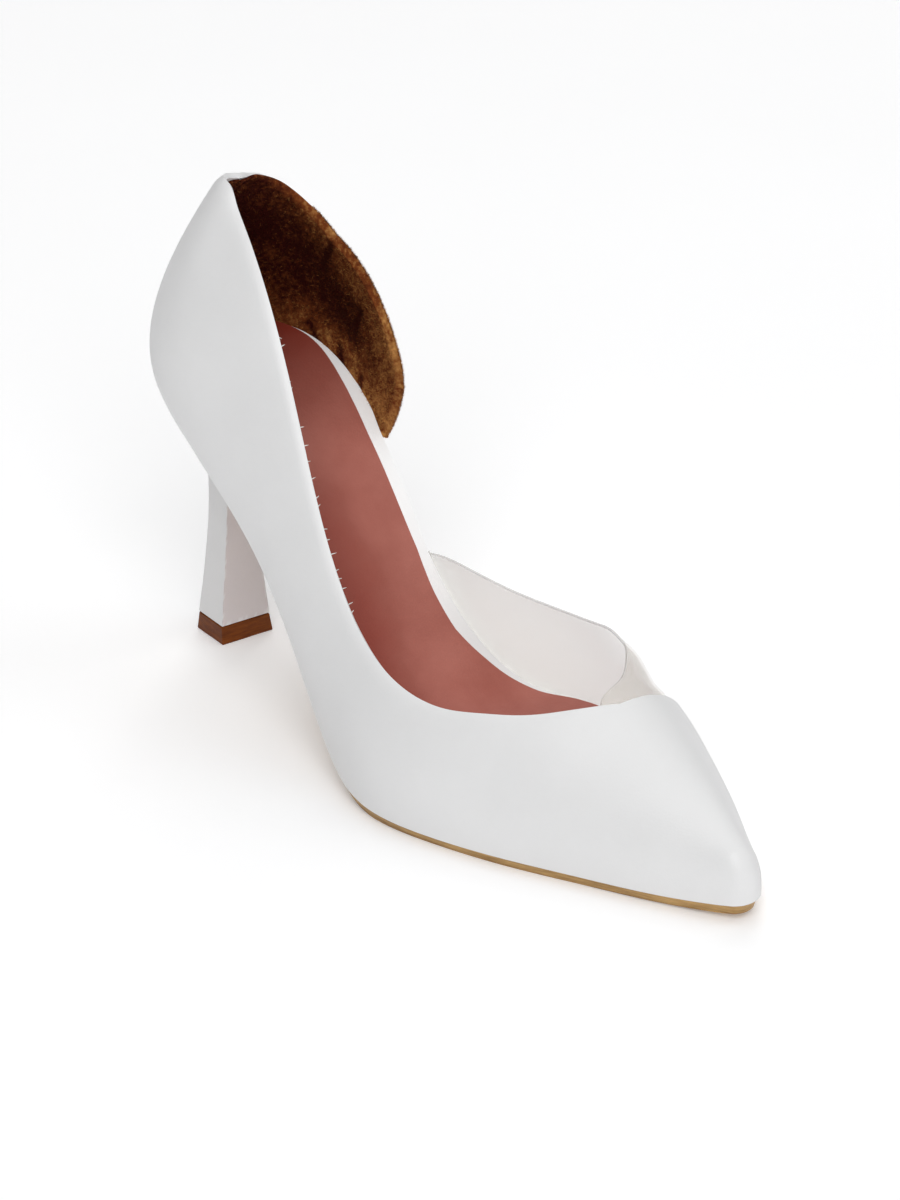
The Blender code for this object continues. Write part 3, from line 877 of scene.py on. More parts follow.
@dataclass
class Upper:
    """White leather wall: vamp, closed quarter, counter and wing, its edge folded in at the back."""

    wall: float = 1.6 * MM
    edge_round: float = 0.65 * MM
    roll_width: float = 3.4 * MM
    roll_depth: float = 0.8 * MM
    roll_start: float = 9 * MM
    toe_steps: int = 14
    vamp_steps: int = 56
    quarter_steps: int = 190
    wing_steps: int = 84
    rise_steps: int = 46
    rise_crowd: float = 0.35
    line_points: int = 400
    wing_foot: float = 76.5 * MM
    wing_trim: float = 1.3 * MM
    back_fade: float = 14 * MM
    fold: float = 8 * MM
    fold_full: float = 0.8
    fold_start: float = 86 * MM
    foot_strip: float = 4 * MM
    foot_full: float = 0.7
    even_rows: int = 8
    even_spread: float = 2.0
    even_span: Span = (74 * MM, 112 * MM)
    even_fade: float = 8 * MM
    quarter_top: Table = Table("place girth", (
        (-46.3, 46.0),
        (-43.2, 42.7),
        (-36.7, 38.7),
        (-26.5, 35.9),
        (-16.8, 34.2),
        (-8, 34.6),
        (4, 37.4),
        (15, 40.7),
        (27, 43.4),
        (38, 46.4),
        (52, 52.9),
        (65, 60.0),
        (79, 66.4),
        (95, 69.6),
        (116, 64.8),
        (137, 60.8),
    ))
    wing_top: Table = Table("place girth", (
        (137, 60.8),
        (120, 58.4),
        (106, 54.0),
        (92, 51.0),
        (80, 48.9),
        (71, 44.6),
        (66, 37.4),
        (66, 28.5),
    ))

    def __post_init__(self) -> None:
        """Works out both toplines."""
        throat_girth = LAST.lengths(Side.OUTER, np.array([LAST.throat]))[0, -1:]
        places = np.concatenate([[LAST.throat], self.quarter_top.column("place")])
        girths = np.concatenate([throat_girth, self.quarter_top.column("girth")])
        self.quarter_line = Topline(Side.OUTER, places, girths)
        self.wing_line = Topline(Side.INNER, self.wing_top.column("place"), self.wing_top.column("girth"))

    def rise(self) -> Array:
        """Shares of the way up, closer together near the topline."""
        even = np.linspace(0, 1, self.rise_steps + 1)
        return even + self.rise_crowd * even * (1 - even)

    def quarter_share(self, at: Array) -> Array:
        """Shares of the closed side's topline at given places."""
        places, shares = self.quarter_line.even(self.line_points)
        return np.interp(at, places, shares)

    def rolled(self, side: Side, places: Array, shares: Array, amount: Array, below: float = 0.0) -> Array:
        """Surface whose last few millimetres under the topline curl in by the square of how near the edge is.

        Args:
            side: side of the foot.
            places: rows by columns of places.
            shares: rows by columns of shares, the last column on the topline.
            amount: share of the curl for each row.
            below: how far the last column lies under the topline.

        Returns:
            Points of the curled surface.
        """
        base = LAST.wall(side, places, shares)
        up = run(base)
        near = np.clip(1 - (up[:, -1:] + below - up) / self.roll_width, 0, 1)
        depth = self.roll_depth * near**2 * amount[:, None]
        return base + LAST.inward(side, places, shares) * depth[..., None]

    def folded(self, points: Array, places: Array) -> Array:
        """Tone of a wall: 1 at the back on the strip under the topline where leather is folded in, else 0.

        Args:
            points: rows by columns of points, the last column on the topline.
            places: place of each row.

        Returns:
            A tone for each point.
        """
        below = run(points[:, ::-1])[:, ::-1]
        near = ease(self.fold_start, self.fold_start + self.fold, places)
        return ease(self.fold, self.fold_full * self.fold, below) * near[:, None]

    def quarter_grid(self) -> tuple[Array, Array]:
        """Closed side from the throat to the middle of the back.

        Returns:
            Points, and tones that mark the fold under the topline and the strip along the foot.
        """
        places, shares = self.quarter_line.even(self.quarter_steps + 1)
        shares[0] = 1
        amount = ease(0, self.roll_start, places - LAST.throat)
        rise = self.rise()[None, :]
        points = self.rolled(Side.OUTER, places[:, None] + 0 * rise, shares[:, None] * rise, amount)
        points = self.evened(points, places)
        up = np.linalg.norm(points - points[:, :1], axis=2)
        strip = ease(self.foot_strip, self.foot_full * self.foot_strip, up)
        return points, np.maximum(self.folded(points, places), strip)

    def evened(self, points: Array, places: Array) -> Array:
        """Rounds the turn into the heel: each point there is a bell-weighted mean of its column's neighbours.

        Args:
            points: rows by columns of points.
            places: place of each row.

        Returns:
            The evened points.
        """
        reach = self.even_rows
        bell = np.exp(-np.linspace(-self.even_spread, self.even_spread, 2 * reach + 1)**2)
        padded = np.pad(points, ((reach, reach), (0, 0), (0, 0)), mode="edge")
        mean = sum(w * padded[k:k + len(points)] for k, w in enumerate(bell / bell.sum()))
        start, end = self.even_span
        near = ease(start, start + self.even_fade, places) * ease(end, end - self.even_fade, places)
        return points + (mean - points) * near[:, None, None]

    def wing_rows(self, trim: float) -> tuple[Array, Array]:
        """Stations of the wing, leaning forward to the front edge.

        Args:
            trim: how far inside the wing's edges the stations end.

        Returns:
            Places and shares, rows by columns.
        """
        places, shares = self.wing_line.even(self.wing_steps + 1, trim)
        feet = np.linspace(LAST.back, self.wing_foot + trim, self.wing_steps + 1)
        rise = self.rise()[None, :]
        return feet[:, None] + (places - feet)[:, None] * rise, shares[:, None] * rise

    def wing_roll(self, places: Array) -> Array:
        """Share of the curl along the wing, which fades out from the middle of the back."""
        return ease(self.back_fade, 0, LAST.back - places[:, -1])

    def build(self) -> Piece:
        """Builds the leather wall.

        Returns:
            The piece that stands for the upper.
        """
        skin = Skin()
        shares = self.rise()
        for side in Side:
            toe = LAST.round_toe(self.toe_steps)[:, None]
            skin.grid(LAST.wall(side, toe, shares[None, :]), flip=side is Side.INNER)
        along = np.linspace(0, 1, self.vamp_steps + 1)
        straight = LAST.toe_centre + along * (LAST.throat - LAST.toe_centre)
        skin.grid(LAST.wall(Side.OUTER, straight[:, None], shares[None, :]))
        slanted = LAST.toe_centre + along[:, None] * (LAST.vamp_cut(shares)[None, :] - LAST.toe_centre)
        skin.grid(LAST.wall(Side.INNER, slanted, shares[None, :]), flip=True)
        quarter, tone = self.quarter_grid()
        skin.grid(quarter, tone=tone)
        places, wing_shares = self.wing_rows(self.wing_trim)
        wing = self.rolled(Side.INNER, places, wing_shares, self.wing_roll(places))
        skin.grid(wing, tone=self.folded(wing, places[:, -1]))
        obj = skin.build("leather_upper", closed=False)
        thicken(obj, self.wall, outwards=True, inner_slot=1)
        soften(obj, self.edge_round)
        dress(obj, "upper", WHITE_LEATHER.material(), QUARTER_LINING.material())
        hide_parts("upper")
        return obj


@dataclass(frozen=True)
class NapSheet:
    """Points of a napped lining, the unit vectors into the shoe at them and their tones."""

    points: Array
    inward: Array
    tone: Array


@dataclass
class CounterLining:
    """Brown napped lining round the inside of the counter, with its hairs."""

    upper: Upper
    depth: float = 0.05 * MM
    thickness: float = 0.7 * MM
    edge_round: float = 0.2 * MM
    front: float = 62 * MM
    steps: int = 60
    foot_share: float = 0.06
    rim_depth: float = -1.3 * MM
    turn_width: float = 1.3 * MM
    turn_fade: Span = (12 * MM, 26 * MM)
    back_drop: float = 0.008
    drop_fade: Span = (0.0, 13 * MM)
    quarter_drop: float = 0.04
    quarter_fade: float = 24 * MM
    base_tone: float = 0.17
    golden_tone: float = 0.52
    rim_glow: float = 7 * MM
    rim_share: float = 0.7
    rim_back: float = 0.2
    rim_fade: Span = (124 * MM, 98 * MM)
    front_glow: Span = (30 * MM, 8 * MM)
    front_share: float = 0.75
    front_spread: float = 1.1
    spread_fade: Span = (112 * MM, 88 * MM)
    foot_glow: Span = (17 * MM, 4 * MM)
    foot_back: float = 0.55
    band_tone: float = 0.13
    band_middle: float = 16 * MM
    band_power: float = 0.6
    band_width: float = 9 * MM
    crease_width: float = 1.2 * MM
    crease_height: float = 0.5 * MM
    crease_swell: float = 3.0
    crease_tone: float = 0.5
    creases: tuple[tuple[float, float, float, float], ...] = (
        (91.8, 0.611, 100.8, 0.446),
        (83.7, 0.445, 90.4, 0.286),
        (88.2, 0.119, 88.9, 0.02),
        (109.1, 0.134, 106.5, 0.057),
        (98.6, 0.120, 95.5, 0.02),
    )
    seed: int = 7
    hairs: int = 60000
    grid_end: float = 1.001
    hair_root: float = 0.9
    hair_length: Span = (0.6 * MM, 1.4 * MM)
    hair_width: float = 0.15 * MM
    hair_rise: Span = (0.15, 0.8)
    hair_lean: float = 0.6
    hair_lift: float = 0.25
    rim_hairs: int = 9000
    rim_hair_length: Span = (0.4 * MM, 1.0 * MM)
    rim_hair_lean: float = 0.55
    tone_spread: float = 0.22

    def tone_of(self, places: Array, rim: Array, front: Array, low: Array) -> Array:
        """Tone of the nap: golden at the rim, at the front edge and low down, dark in the band between them.

        Args:
            places: places along the shoe.
            rim: distances from the top edge.
            front: distances from the front edge.
            low: distances up from the foot.

        Returns:
            The tone, 0 dark to 1 golden.
        """
        forward = ease(LAST.back, self.front, places)
        wide = 1 + self.front_spread * ease(*self.spread_fade, places)
        at_rim = np.exp(-(rim / (self.rim_glow * wide))**2)
        at_rim = at_rim * (self.rim_back + (1 - self.rim_back) * ease(*self.rim_fade, places))
        at_front = ease(*self.front_glow, front)
        at_foot = ease(*self.foot_glow, low) * (self.foot_back + (1 - self.foot_back) * forward)
        golden = 1 - (1 - self.rim_share * at_rim) * (1 - self.front_share * at_front) * (1 - at_foot)
        band = np.exp(-((rim - self.band_middle * wide**self.band_power) / self.band_width)**2)
        return self.base_tone - self.band_tone * band * (1 - at_foot) + self.golden_tone * golden

    def creased(self, points: Array) -> tuple[Array, Array]:
        """Partings of the nap: a bell-shaped trough along each line, and a wider swell on both sides of it.

        A row of creases is the place and share at each end of a line on the wing.

        Args:
            points: points of the wing's lining.

        Returns:
            Nearness, 1 on a parting, and how far the sheet swells.
        """
        near = np.zeros(points.shape[:2])
        swell = np.zeros(points.shape[:2])
        rows = np.array(self.creases)
        for start, end in LAST.wall(Side.INNER, rows[:, ::2] * MM, rows[:, 1::2]):
            way = end - start
            part = np.clip((points - start) @ way / (way @ way), 0, 1)
            away = np.linalg.norm(points - start - part[..., None] * way, axis=2) / self.crease_width
            trough = np.exp(-away**2)
            near = np.maximum(near, trough)
            swell = swell + self.crease_height * (np.exp(-(away / self.crease_swell)**2) - trough)
        return near, np.maximum(swell, 0)

    def rise(self) -> Array:
        """Shares of the way up from the lining's foot to the topline."""
        return self.foot_share + (1 - self.foot_share) * self.upper.rise()[None, :]

    def wing(self) -> NapSheet:
        """Works out the lining inside the wing; near its edge it turns out over the rim.

        Returns:
            The lining's grid.
        """
        places, shares = self.upper.wing_rows(0)
        along = LAST.back - places[:, -1:]
        tops = shares[:, -1:] - self.back_drop * (1 - ease(*self.drop_fade, along))
        shares = tops * self.rise()
        bare = self.upper.rolled(Side.INNER, places, shares, self.upper.wing_roll(places))
        rim, front = [
            np.linalg.norm(bare[:, :, None] - edge, axis=3).min(axis=2) for edge in (bare[:, -1], bare[-1])
        ]
        turned = ease(self.turn_width, 0, np.minimum(rim, front)) * ease(*self.turn_fade, along)
        parting, swell = self.creased(bare)
        depth = self.depth + (self.rim_depth - self.depth) * turned + swell
        inward = LAST.inward(Side.INNER, places, shares)
        tone = self.tone_of(places, rim, front, run(bare)) - self.crease_tone * parting
        return NapSheet(bare + inward * depth[..., None], inward, tone)

    def quarter(self) -> NapSheet:
        """Works out the lining inside the closed side, which ends under its topline.

        Returns:
            The lining's grid.
        """
        row = np.linspace(self.front, LAST.back, self.steps + 1)
        drop = self.back_drop + self.quarter_drop * ease(LAST.back, LAST.back - self.quarter_fade, row)
        shares = (self.upper.quarter_share(row) - drop)[:, None] * self.rise()
        places = row[:, None] + 0 * shares
        bare = self.upper.rolled(Side.OUTER, places, shares, np.ones(len(row)), below=self.turn_width)
        inward = LAST.inward(Side.OUTER, places, shares)
        rim, front = [np.linalg.norm(bare - edge, axis=2) for edge in (bare[:, -1:], bare[:1])]
        return NapSheet(bare + inward * self.depth, inward, self.tone_of(places, rim, front, run(bare)))

    def build(self) -> list[Piece]:
        """Builds the lining and its nap.

        Returns:
            The sheet and the hairs.
        """
        finish = NappedSuede("napped_lining").material()
        skin = Skin()
        sides = (self.wing(), self.quarter())
        for side in sides:
            skin.grid(side.points, tone=side.tone)
        sheet = skin.build("counter_lining", closed=False)
        thicken(sheet, self.thickness)
        soften(sheet, self.edge_round, segments=2)
        dress(sheet, "upper", finish)
        nap = self.build_nap(sides)
        dress(nap, "upper", finish)
        return [sheet, nap]

    def scatter(self, side: NapSheet, count: int, rng: np.random.Generator) -> NapSheet:
        """Roots of hairs, spread evenly: grid points drawn by their area, each moved up to half a cell.

        Args:
            side: grid of one side's lining.
            count: how many hairs.
            rng: source of the scatter.

        Returns:
            The roots.
        """
        rows, columns = side.points.shape[:2]
        area = np.linalg.norm(np.cross(*[np.gradient(side.points, axis=axis) for axis in (0, 1)]), axis=2)
        pick = rng.choice(rows * columns, count, p=(area / area.sum()).ravel())
        row, column = [
            np.clip(at + rng.uniform(-0.5, 0.5, count), 0, size - self.grid_end)
            for at, size in ((pick // columns, rows), (pick % columns, columns))
        ]
        low_row, low_column = row.astype(int), column.astype(int)
        up, over = (row - low_row)[:, None], (column - low_column)[:, None]
        low, high = [
            side.points[at, low_column] * (1 - over) + side.points[at, low_column + 1] * over
            for at in (low_row, low_row + 1)
        ]
        inward = side.inward[low_row, low_column]
        roots = low * (1 - up) + high * up + inward * self.thickness * self.hair_root
        tone = side.tone[low_row, low_column] + rng.normal(0, self.tone_spread, count)
        return NapSheet(roots, inward, tone)

    def rim_nap(self, wing: NapSheet, rng: np.random.Generator) -> tuple[Array, Array, Array]:
        """Hairs that stand off the wing's rim and front edge, along the surface and out past the edge.

        Args:
            wing: grid of the wing's lining.
            rng: source of the scatter.

        Returns:
            Roots, ways with their lengths, and tones.
        """
        points = wing.points
        edge, side, tones = [
            np.concatenate([values[:, -1], values[-1, ::-1]]) for values in (points, wing.inward, wing.tone)
        ]
        out = np.concatenate([points[:, -1] - points[:, -3], points[-1, ::-1] - points[-3, ::-1]])
        far = run(edge)
        at = rng.uniform(self.turn_fade[1], far[-1], self.rim_hairs)
        pick = np.clip(np.searchsorted(far, at) - 1, 0, len(far) - 2)
        part = ((at - far[pick]) / np.maximum(far[pick + 1] - far[pick], SLIVER))[:, None]
        root = edge[pick] * (1 - part) + edge[pick + 1] * part
        root = root + side[pick] * rng.uniform(0, self.thickness, (len(at), 1))
        way = unit(unit(out[pick]) + rng.normal(0, self.rim_hair_lean, root.shape))
        way = way * rng.uniform(*self.rim_hair_length, (len(at), 1))
        return root, way, tones[pick] + rng.normal(0, self.tone_spread, len(at))

    def build_nap(self, sides: tuple[NapSheet, ...]) -> Piece:
        """Scatters short hairs over the lining: each is one thin triangle leaning a random way off the face.

        Args:
            sides: grid of each side's lining, the wing's first.

        Returns:
            The hairs as one piece.
        """
        rng = np.random.default_rng(self.seed)
        parts = [self.scatter(side, self.hairs // len(sides), rng) for side in sides]
        root, inward, tone = [
            np.concatenate(values) for values in zip(*[(p.points, p.inward, p.tone) for p in parts])
        ]
        lean = rng.normal(0, 1, root.shape)
        lean -= inward * (lean * inward).sum(axis=1, keepdims=True)
        way = inward * rng.uniform(*self.hair_rise, (len(root), 1)) + lean * self.hair_lean
        way = unit(way + self.hair_lift * UP) * rng.uniform(*self.hair_length, (len(root), 1))
        rim_root, rim_way, rim_tone = self.rim_nap(sides[0], rng)
        root, way = np.concatenate([root, rim_root]), np.concatenate([way, rim_way])
        across = unit(np.cross(way, rng.normal(0, 1, root.shape))) * self.hair_width / 2
        corners = np.stack([root - across, root + across, root + way], axis=1).reshape(-1, 3)
        tones = np.repeat(np.concatenate([tone, rim_tone]), 3)
        return make_piece("lining_nap", corners, np.arange(len(corners)).reshape(-1, 3), tones)


@dataclass
class EdgeStitches:
    """Ends of sewing thread that stand in from the closed side's topline."""

    upper: Upper
    start: float = 22 * MM
    end: float = 66 * MM
    count: int = 20
    jitter: float = 0.4
    length: Span = (0.6 * MM, 1.6 * MM)
    buried: float = 0.5 * MM
    root_lift: float = 0.1 * MM
    lean: float = 0.25
    tip_lift: float = 0.25
    radius: float = 0.15 * MM
    ring_places: Triple = (0, 0.6, 1.0)
    ring_widths: Triple = (1, 0.9, 0.25)
    sides: int = 6
    seed: int = 3

    def build(self) -> Piece:
        """Builds the ends: each is a thin tube that tapers from the rim to its tip.

        Returns:
            All the ends as one piece.
        """
        rng = np.random.default_rng(self.seed)
        stray = rng.uniform(-self.jitter, self.jitter, self.count)
        spread = np.linspace(0, 1, self.count) + stray / self.count
        places = self.start + (self.end - self.start) * np.clip(spread, 0, 1)
        shares = self.upper.quarter_share(places)
        inward = LAST.inward(Side.OUTER, places, shares)
        root = LAST.under(Side.OUTER, places, shares, self.upper.roll_depth - self.buried)
        root = root + self.root_lift * UP
        way = unit(inward + rng.normal(0, self.lean, inward.shape) + self.tip_lift * UP)
        way = way * (rng.uniform(*self.length, self.count) + self.buried)[:, None]
        first = unit(np.cross(way, UP))
        second = unit(np.cross(way, first))
        angle = np.linspace(0, 2 * np.pi, self.sides + 1)[:, None]
        steps = np.array(self.ring_places)[:, None, None]
        widths = np.array(self.ring_widths)[:, None, None] * self.radius
        skin = Skin()
        for k in range(self.count):
            rings = root[k] + steps * way[k] + widths * (np.cos(angle) * first[k] + np.sin(angle) * second[k])
            skin.grid(rings)
            skin.cap(rings[0])
            skin.cap(rings[-1])
        obj = skin.build("edge_stitches")
        dress(obj, "upper", THREAD.material())
        return obj


@dataclass
class Footbed:
    """Leather-wrapped insole board and the rose sock that lies on it."""

    thickness: float = 4.5 * MM
    board_round: float = 0.7 * MM
    # board_shade_fade: places where the board's top goes over into painted shade towards the toe
    board_shade_fade: Span = (48 * MM, 26 * MM)
    sock_thickness: float = 0.7 * MM
    sock_lift: float = 0.02 * MM
    sock_outer: float = 1.0 * MM
    sock_round: float = 0.28 * MM
    # heel_shade, waist_shade and ball_shade: strengths of the painted shade on the sock
    heel_shade: float = 0.55
    heel_fade: Span = (84 * MM, 122 * MM)
    waist_shade: float = 0.34
    waist_fades: tuple[Span, Span] = ((-6 * MM, 14 * MM), (80 * MM, 52 * MM))
    waist_width: Span = (36 * MM, 20 * MM)
    ball_shade: float = 0.11
    ball_fade: Span = (18 * MM, -4 * MM)
    step: float = 1.6 * MM
    toe_steps: int = 10
    across: int = 36
    board_inset: Table = Table("place outer inner", (
        (-105, 0.9, 0.9),
        (-90, 0.1, 0.9),
        (-47, 0.1, 0.9),
        (-37, 0.1, 1.7),
        (50, 0.1, 1.7),
        (58, 0.1, 0.9),
        (76, 0.1, 0.9),
        (82, 0.1, 0.1),
        (140, 0.1, 0.1),
    ))
    sock_inset: Table = Table("place inner", (
        (-105, 1.0),
        (-48, 1.0),
        (-38, 1.4),
        (0, 1.2),
        (5, 1.5),
        (8, 2.4),
        (12, 3.9),
        (18, 4.3),
        (26, 5.0),
        (34, 6.5),
        (42, 6.0),
        (50, 4.9),
        (66, 5.0),
        (76, 5.2),
        (86, 4.8),
        (99, 3.6),
        (110, 2.0),
        (118, 1.2),
        (140, 1.0),
    ))

    def level(self, places: Array) -> Array:
        """Bottom of the board on straight lines from edge to edge."""
        insets = [self.board_inset.straight(side.column, places) for side in Side]
        edges = [LAST.bottom_edge(side, places, inset) for side, inset in zip(Side, insets)]
        return chords(*edges, self.across)

    def build(self) -> list[Piece]:
        """Builds the board and the sock.

        Returns:
            Both pieces.
        """
        places = LAST.stations(self.toe_steps, LAST.back, self.step)
        bottom = self.level(places)
        skin = Skin()
        # The board's top is toned towards the toe: painted shade
        skin.layer(bottom + self.thickness * UP, bottom, ease(*self.board_shade_fade, places)[:, None])
        board = skin.build("insole_board")
        soften(board, self.board_round)
        dress(board, "insole", BOARD_LEATHER.material())
        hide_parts("insole")
        return [board, self.build_sock(places)]

    def painted_sock_shade(self, places: Array, away: Array) -> Array:
        """Painted shade: how much deeper the sock's colour is at the heel end, a little at the ball, along
        the closed side.

        Args:
            places: places along the shoe.
            away: distances from the closed side.

        Returns:
            A tone for each point.
        """
        start, end = self.waist_fades
        heel = self.heel_shade * ease(*self.heel_fade, places)
        waist = self.waist_shade * ease(*start, places) * ease(*end, places)
        ball = self.ball_shade * ease(*self.ball_fade, places)
        return (heel + ball)[:, None] + waist[:, None] * ease(*self.waist_width, away)

    def build_sock(self, places: Array) -> Piece:
        """Builds the sock: a thin slab on the board's straight lines, set in from the board's inner edge.

        Args:
            places: places along the shoe.

        Returns:
            The sock.
        """
        insets = (self.sock_outer, self.sock_inset.straight("inner", places))
        edges = [LAST.bottom_edge(side, places, inset) for side, inset in zip(Side, insets)]
        low = chords(*edges, self.across)
        outer, inner = [LAST.bottom_edge(side, places, 0) for side in Side]
        width = np.linalg.norm((inner - outer)[:, :2], axis=1)[:, None]
        share = np.linalg.norm((low - outer[:, None])[..., :2], axis=2) / np.maximum(width, SLIVER)
        low[..., 2] = outer[:, None, 2] * (1 - share) + inner[:, None, 2] * share
        low = low + (self.thickness + self.sock_lift) * UP
        skin = Skin()
        # The sock's tone is painted shade: darker at the heel end, a little towards the toe and along the
        # closed side's wall
        skin.layer(low + self.sock_thickness * UP, low, self.painted_sock_shade(places, share * width))
        sock = skin.build("rose_sock")
        soften(sock, self.sock_round, segments=2)
        dress(sock, "insole", SockLeather("rose_leather").material())
        return sock


@dataclass
class ClearPanel:
    """Clear sheet on the inner side of the forefoot, tucked under the vamp's edge."""

    thickness: float = 0.7 * MM
    gap: float = 0.3 * MM
    flare: float = 1.2 * MM
    lift: float = 0.5 * MM
    foot_share: float = 0.012
    tucks: Triple = (-4 * MM, 0.0, 6 * MM)
    depths: Triple = (-0.5 * MM, 0.3 * MM, 0.4 * MM)
    top_shares: Triple = (1.03, 1.1, 1.1)
    first: Triple = (0, 0.15, 0.42)
    last: Triple = (0, 0.25, 0.08)
    steps: int = 150
    rise_steps: int = 48
    sections: Table = Table("foot top_x top_y top_z shoulder", (
        (51, 20.6, 51.5, 42.0, 0.1),
        (43, 20.5, 43.5, 43.6, 0.4),
        (33, 22.3, 33.0, 42.6, 1.0),
        (21, 27.8, 20.0, 38.8, 1.5),
        (12, 31.6, 8.0, 37.4, 2.5),
        (3, 32.5, -6.0, 38.3, 3.5),
        (-5, 29.5, -17.0, 41.2, 4.0),
        (-13, 25.0, -26.5, 43.2, 5.5),
        (-18, 19.0, -35.5, 44.8, 11.0),
        (-22, 12.0, -42.0, 42.8, 18.5),
    ))

    def tuck_row(self, tuck: float, top_share: float, depth: float, rise: Array) -> Array:
        """Points along the vamp's edge; shares past the ridge lie on the outer side.

        Args:
            tuck: how far in from the edge the points lie.
            top_share: share of the highest point.
            depth: how far under the last's surface they lie.
            rise: shares of the way up.

        Returns:
            A row of points.
        """
        shares = self.foot_share + (top_share - self.foot_share) * rise
        places = LAST.vamp_cut(np.minimum(shares, 1)) - tuck
        near = LAST.under(Side.INNER, places, np.minimum(shares, 1), depth)
        far = LAST.under(Side.OUTER, places, np.minimum(2 - shares, 1), depth)
        return np.where(shares[:, None] > 1, far, near)

    def grid(self) -> Array:
        """Sheet's points: each free section is a cubic curve from its foot, rising upright, to its top.

        Returns:
            Rows by columns of points, the rows evenly spaced on smooth curves through the sections.
        """
        rise = np.linspace(0, 1, self.rise_steps + 1)
        table = self.sections
        feet = LAST.bottom_edge(Side.INNER, table.column("foot"), self.gap) + self.lift * UP
        tops = np.stack([table.column(name) for name in ("top_x", "top_y", "top_z")], -1)
        way = tops - feet
        handles = (
            feet,
            feet + way * np.array(self.first) + (self.flare, 0, 0),
            tops - way * np.array(self.last) + table.column("shoulder")[:, None] * (1, 0, 0),
            tops,
        )
        free = sum(p[:, None, :] * w[None, :, None] for w, p in zip(bezier(rise), handles))
        under = zip(self.tucks, self.top_shares, self.depths)
        rows = np.concatenate([free, np.stack([self.tuck_row(*row, rise) for row in under])])
        knots = run(rows.mean(axis=1))
        return spline(knots, rows, np.linspace(0, knots[-1], self.steps + 1))

    def build(self) -> Piece:
        """Builds the sheet.

        Returns:
            The piece that stands for the side panel.
        """
        skin = Skin()
        skin.grid(self.grid())
        obj = skin.build("clear_panel", closed=False)
        thicken(obj, self.thickness, rim_slot=1)
        dress(obj, "side_panel", CLEAR_SHEET.material(), CUT_EDGE.material())
        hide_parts("side_panel")
        return obj


@dataclass
class Outsole:
    """Thin tan sole from the toe to the heel's breast."""

    gap: float = 0.3 * MM
    edge_round: float = 0.45 * MM
    step: float = 1.6 * MM
    toe_steps: int = 10
    across: int = 30
    bevel: float = 1.0 * MM
    section: Table = Table("place margin thickness", (
        (-105, 0.8, 3.2),
        (-60, 0.8, 3.0),
        (-40, 0.8, 3.2),
        (0, 0.8, 3.4),
        (20, 0.9, 2.5),
        (40, -2.0, 1.9),
        (60, -3.0, 1.6),
        (86, -3.0, 1.4),
    ))

    def build(self) -> Piece:
        """Builds the sole, flat on the floor under the forefoot.

        Returns:
            The piece that stands for the outsole.
        """
        places = LAST.stations(self.toe_steps, LAST.breast - self.gap, self.step)
        margin = self.section.at("margin", places)
        top, rim = [
            chords(*[LAST.bottom_edge(side, places, inset) for side in Side], self.across) - self.gap * UP
            for inset in (-margin, self.bevel - margin)
        ]
        bottom = rim - self.section.at("thickness", places)[:, None, None] * UP
        bottom[..., 2] = np.maximum(bottom[..., 2], 0)
        skin = Skin()
        skin.layer(top, bottom, foot_tone=1.0)
        obj = skin.build("tan_sole")
        soften(obj, self.edge_round)
        dress(obj, "outsole", SOLE_EDGE.material())
        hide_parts("outsole")
        return obj


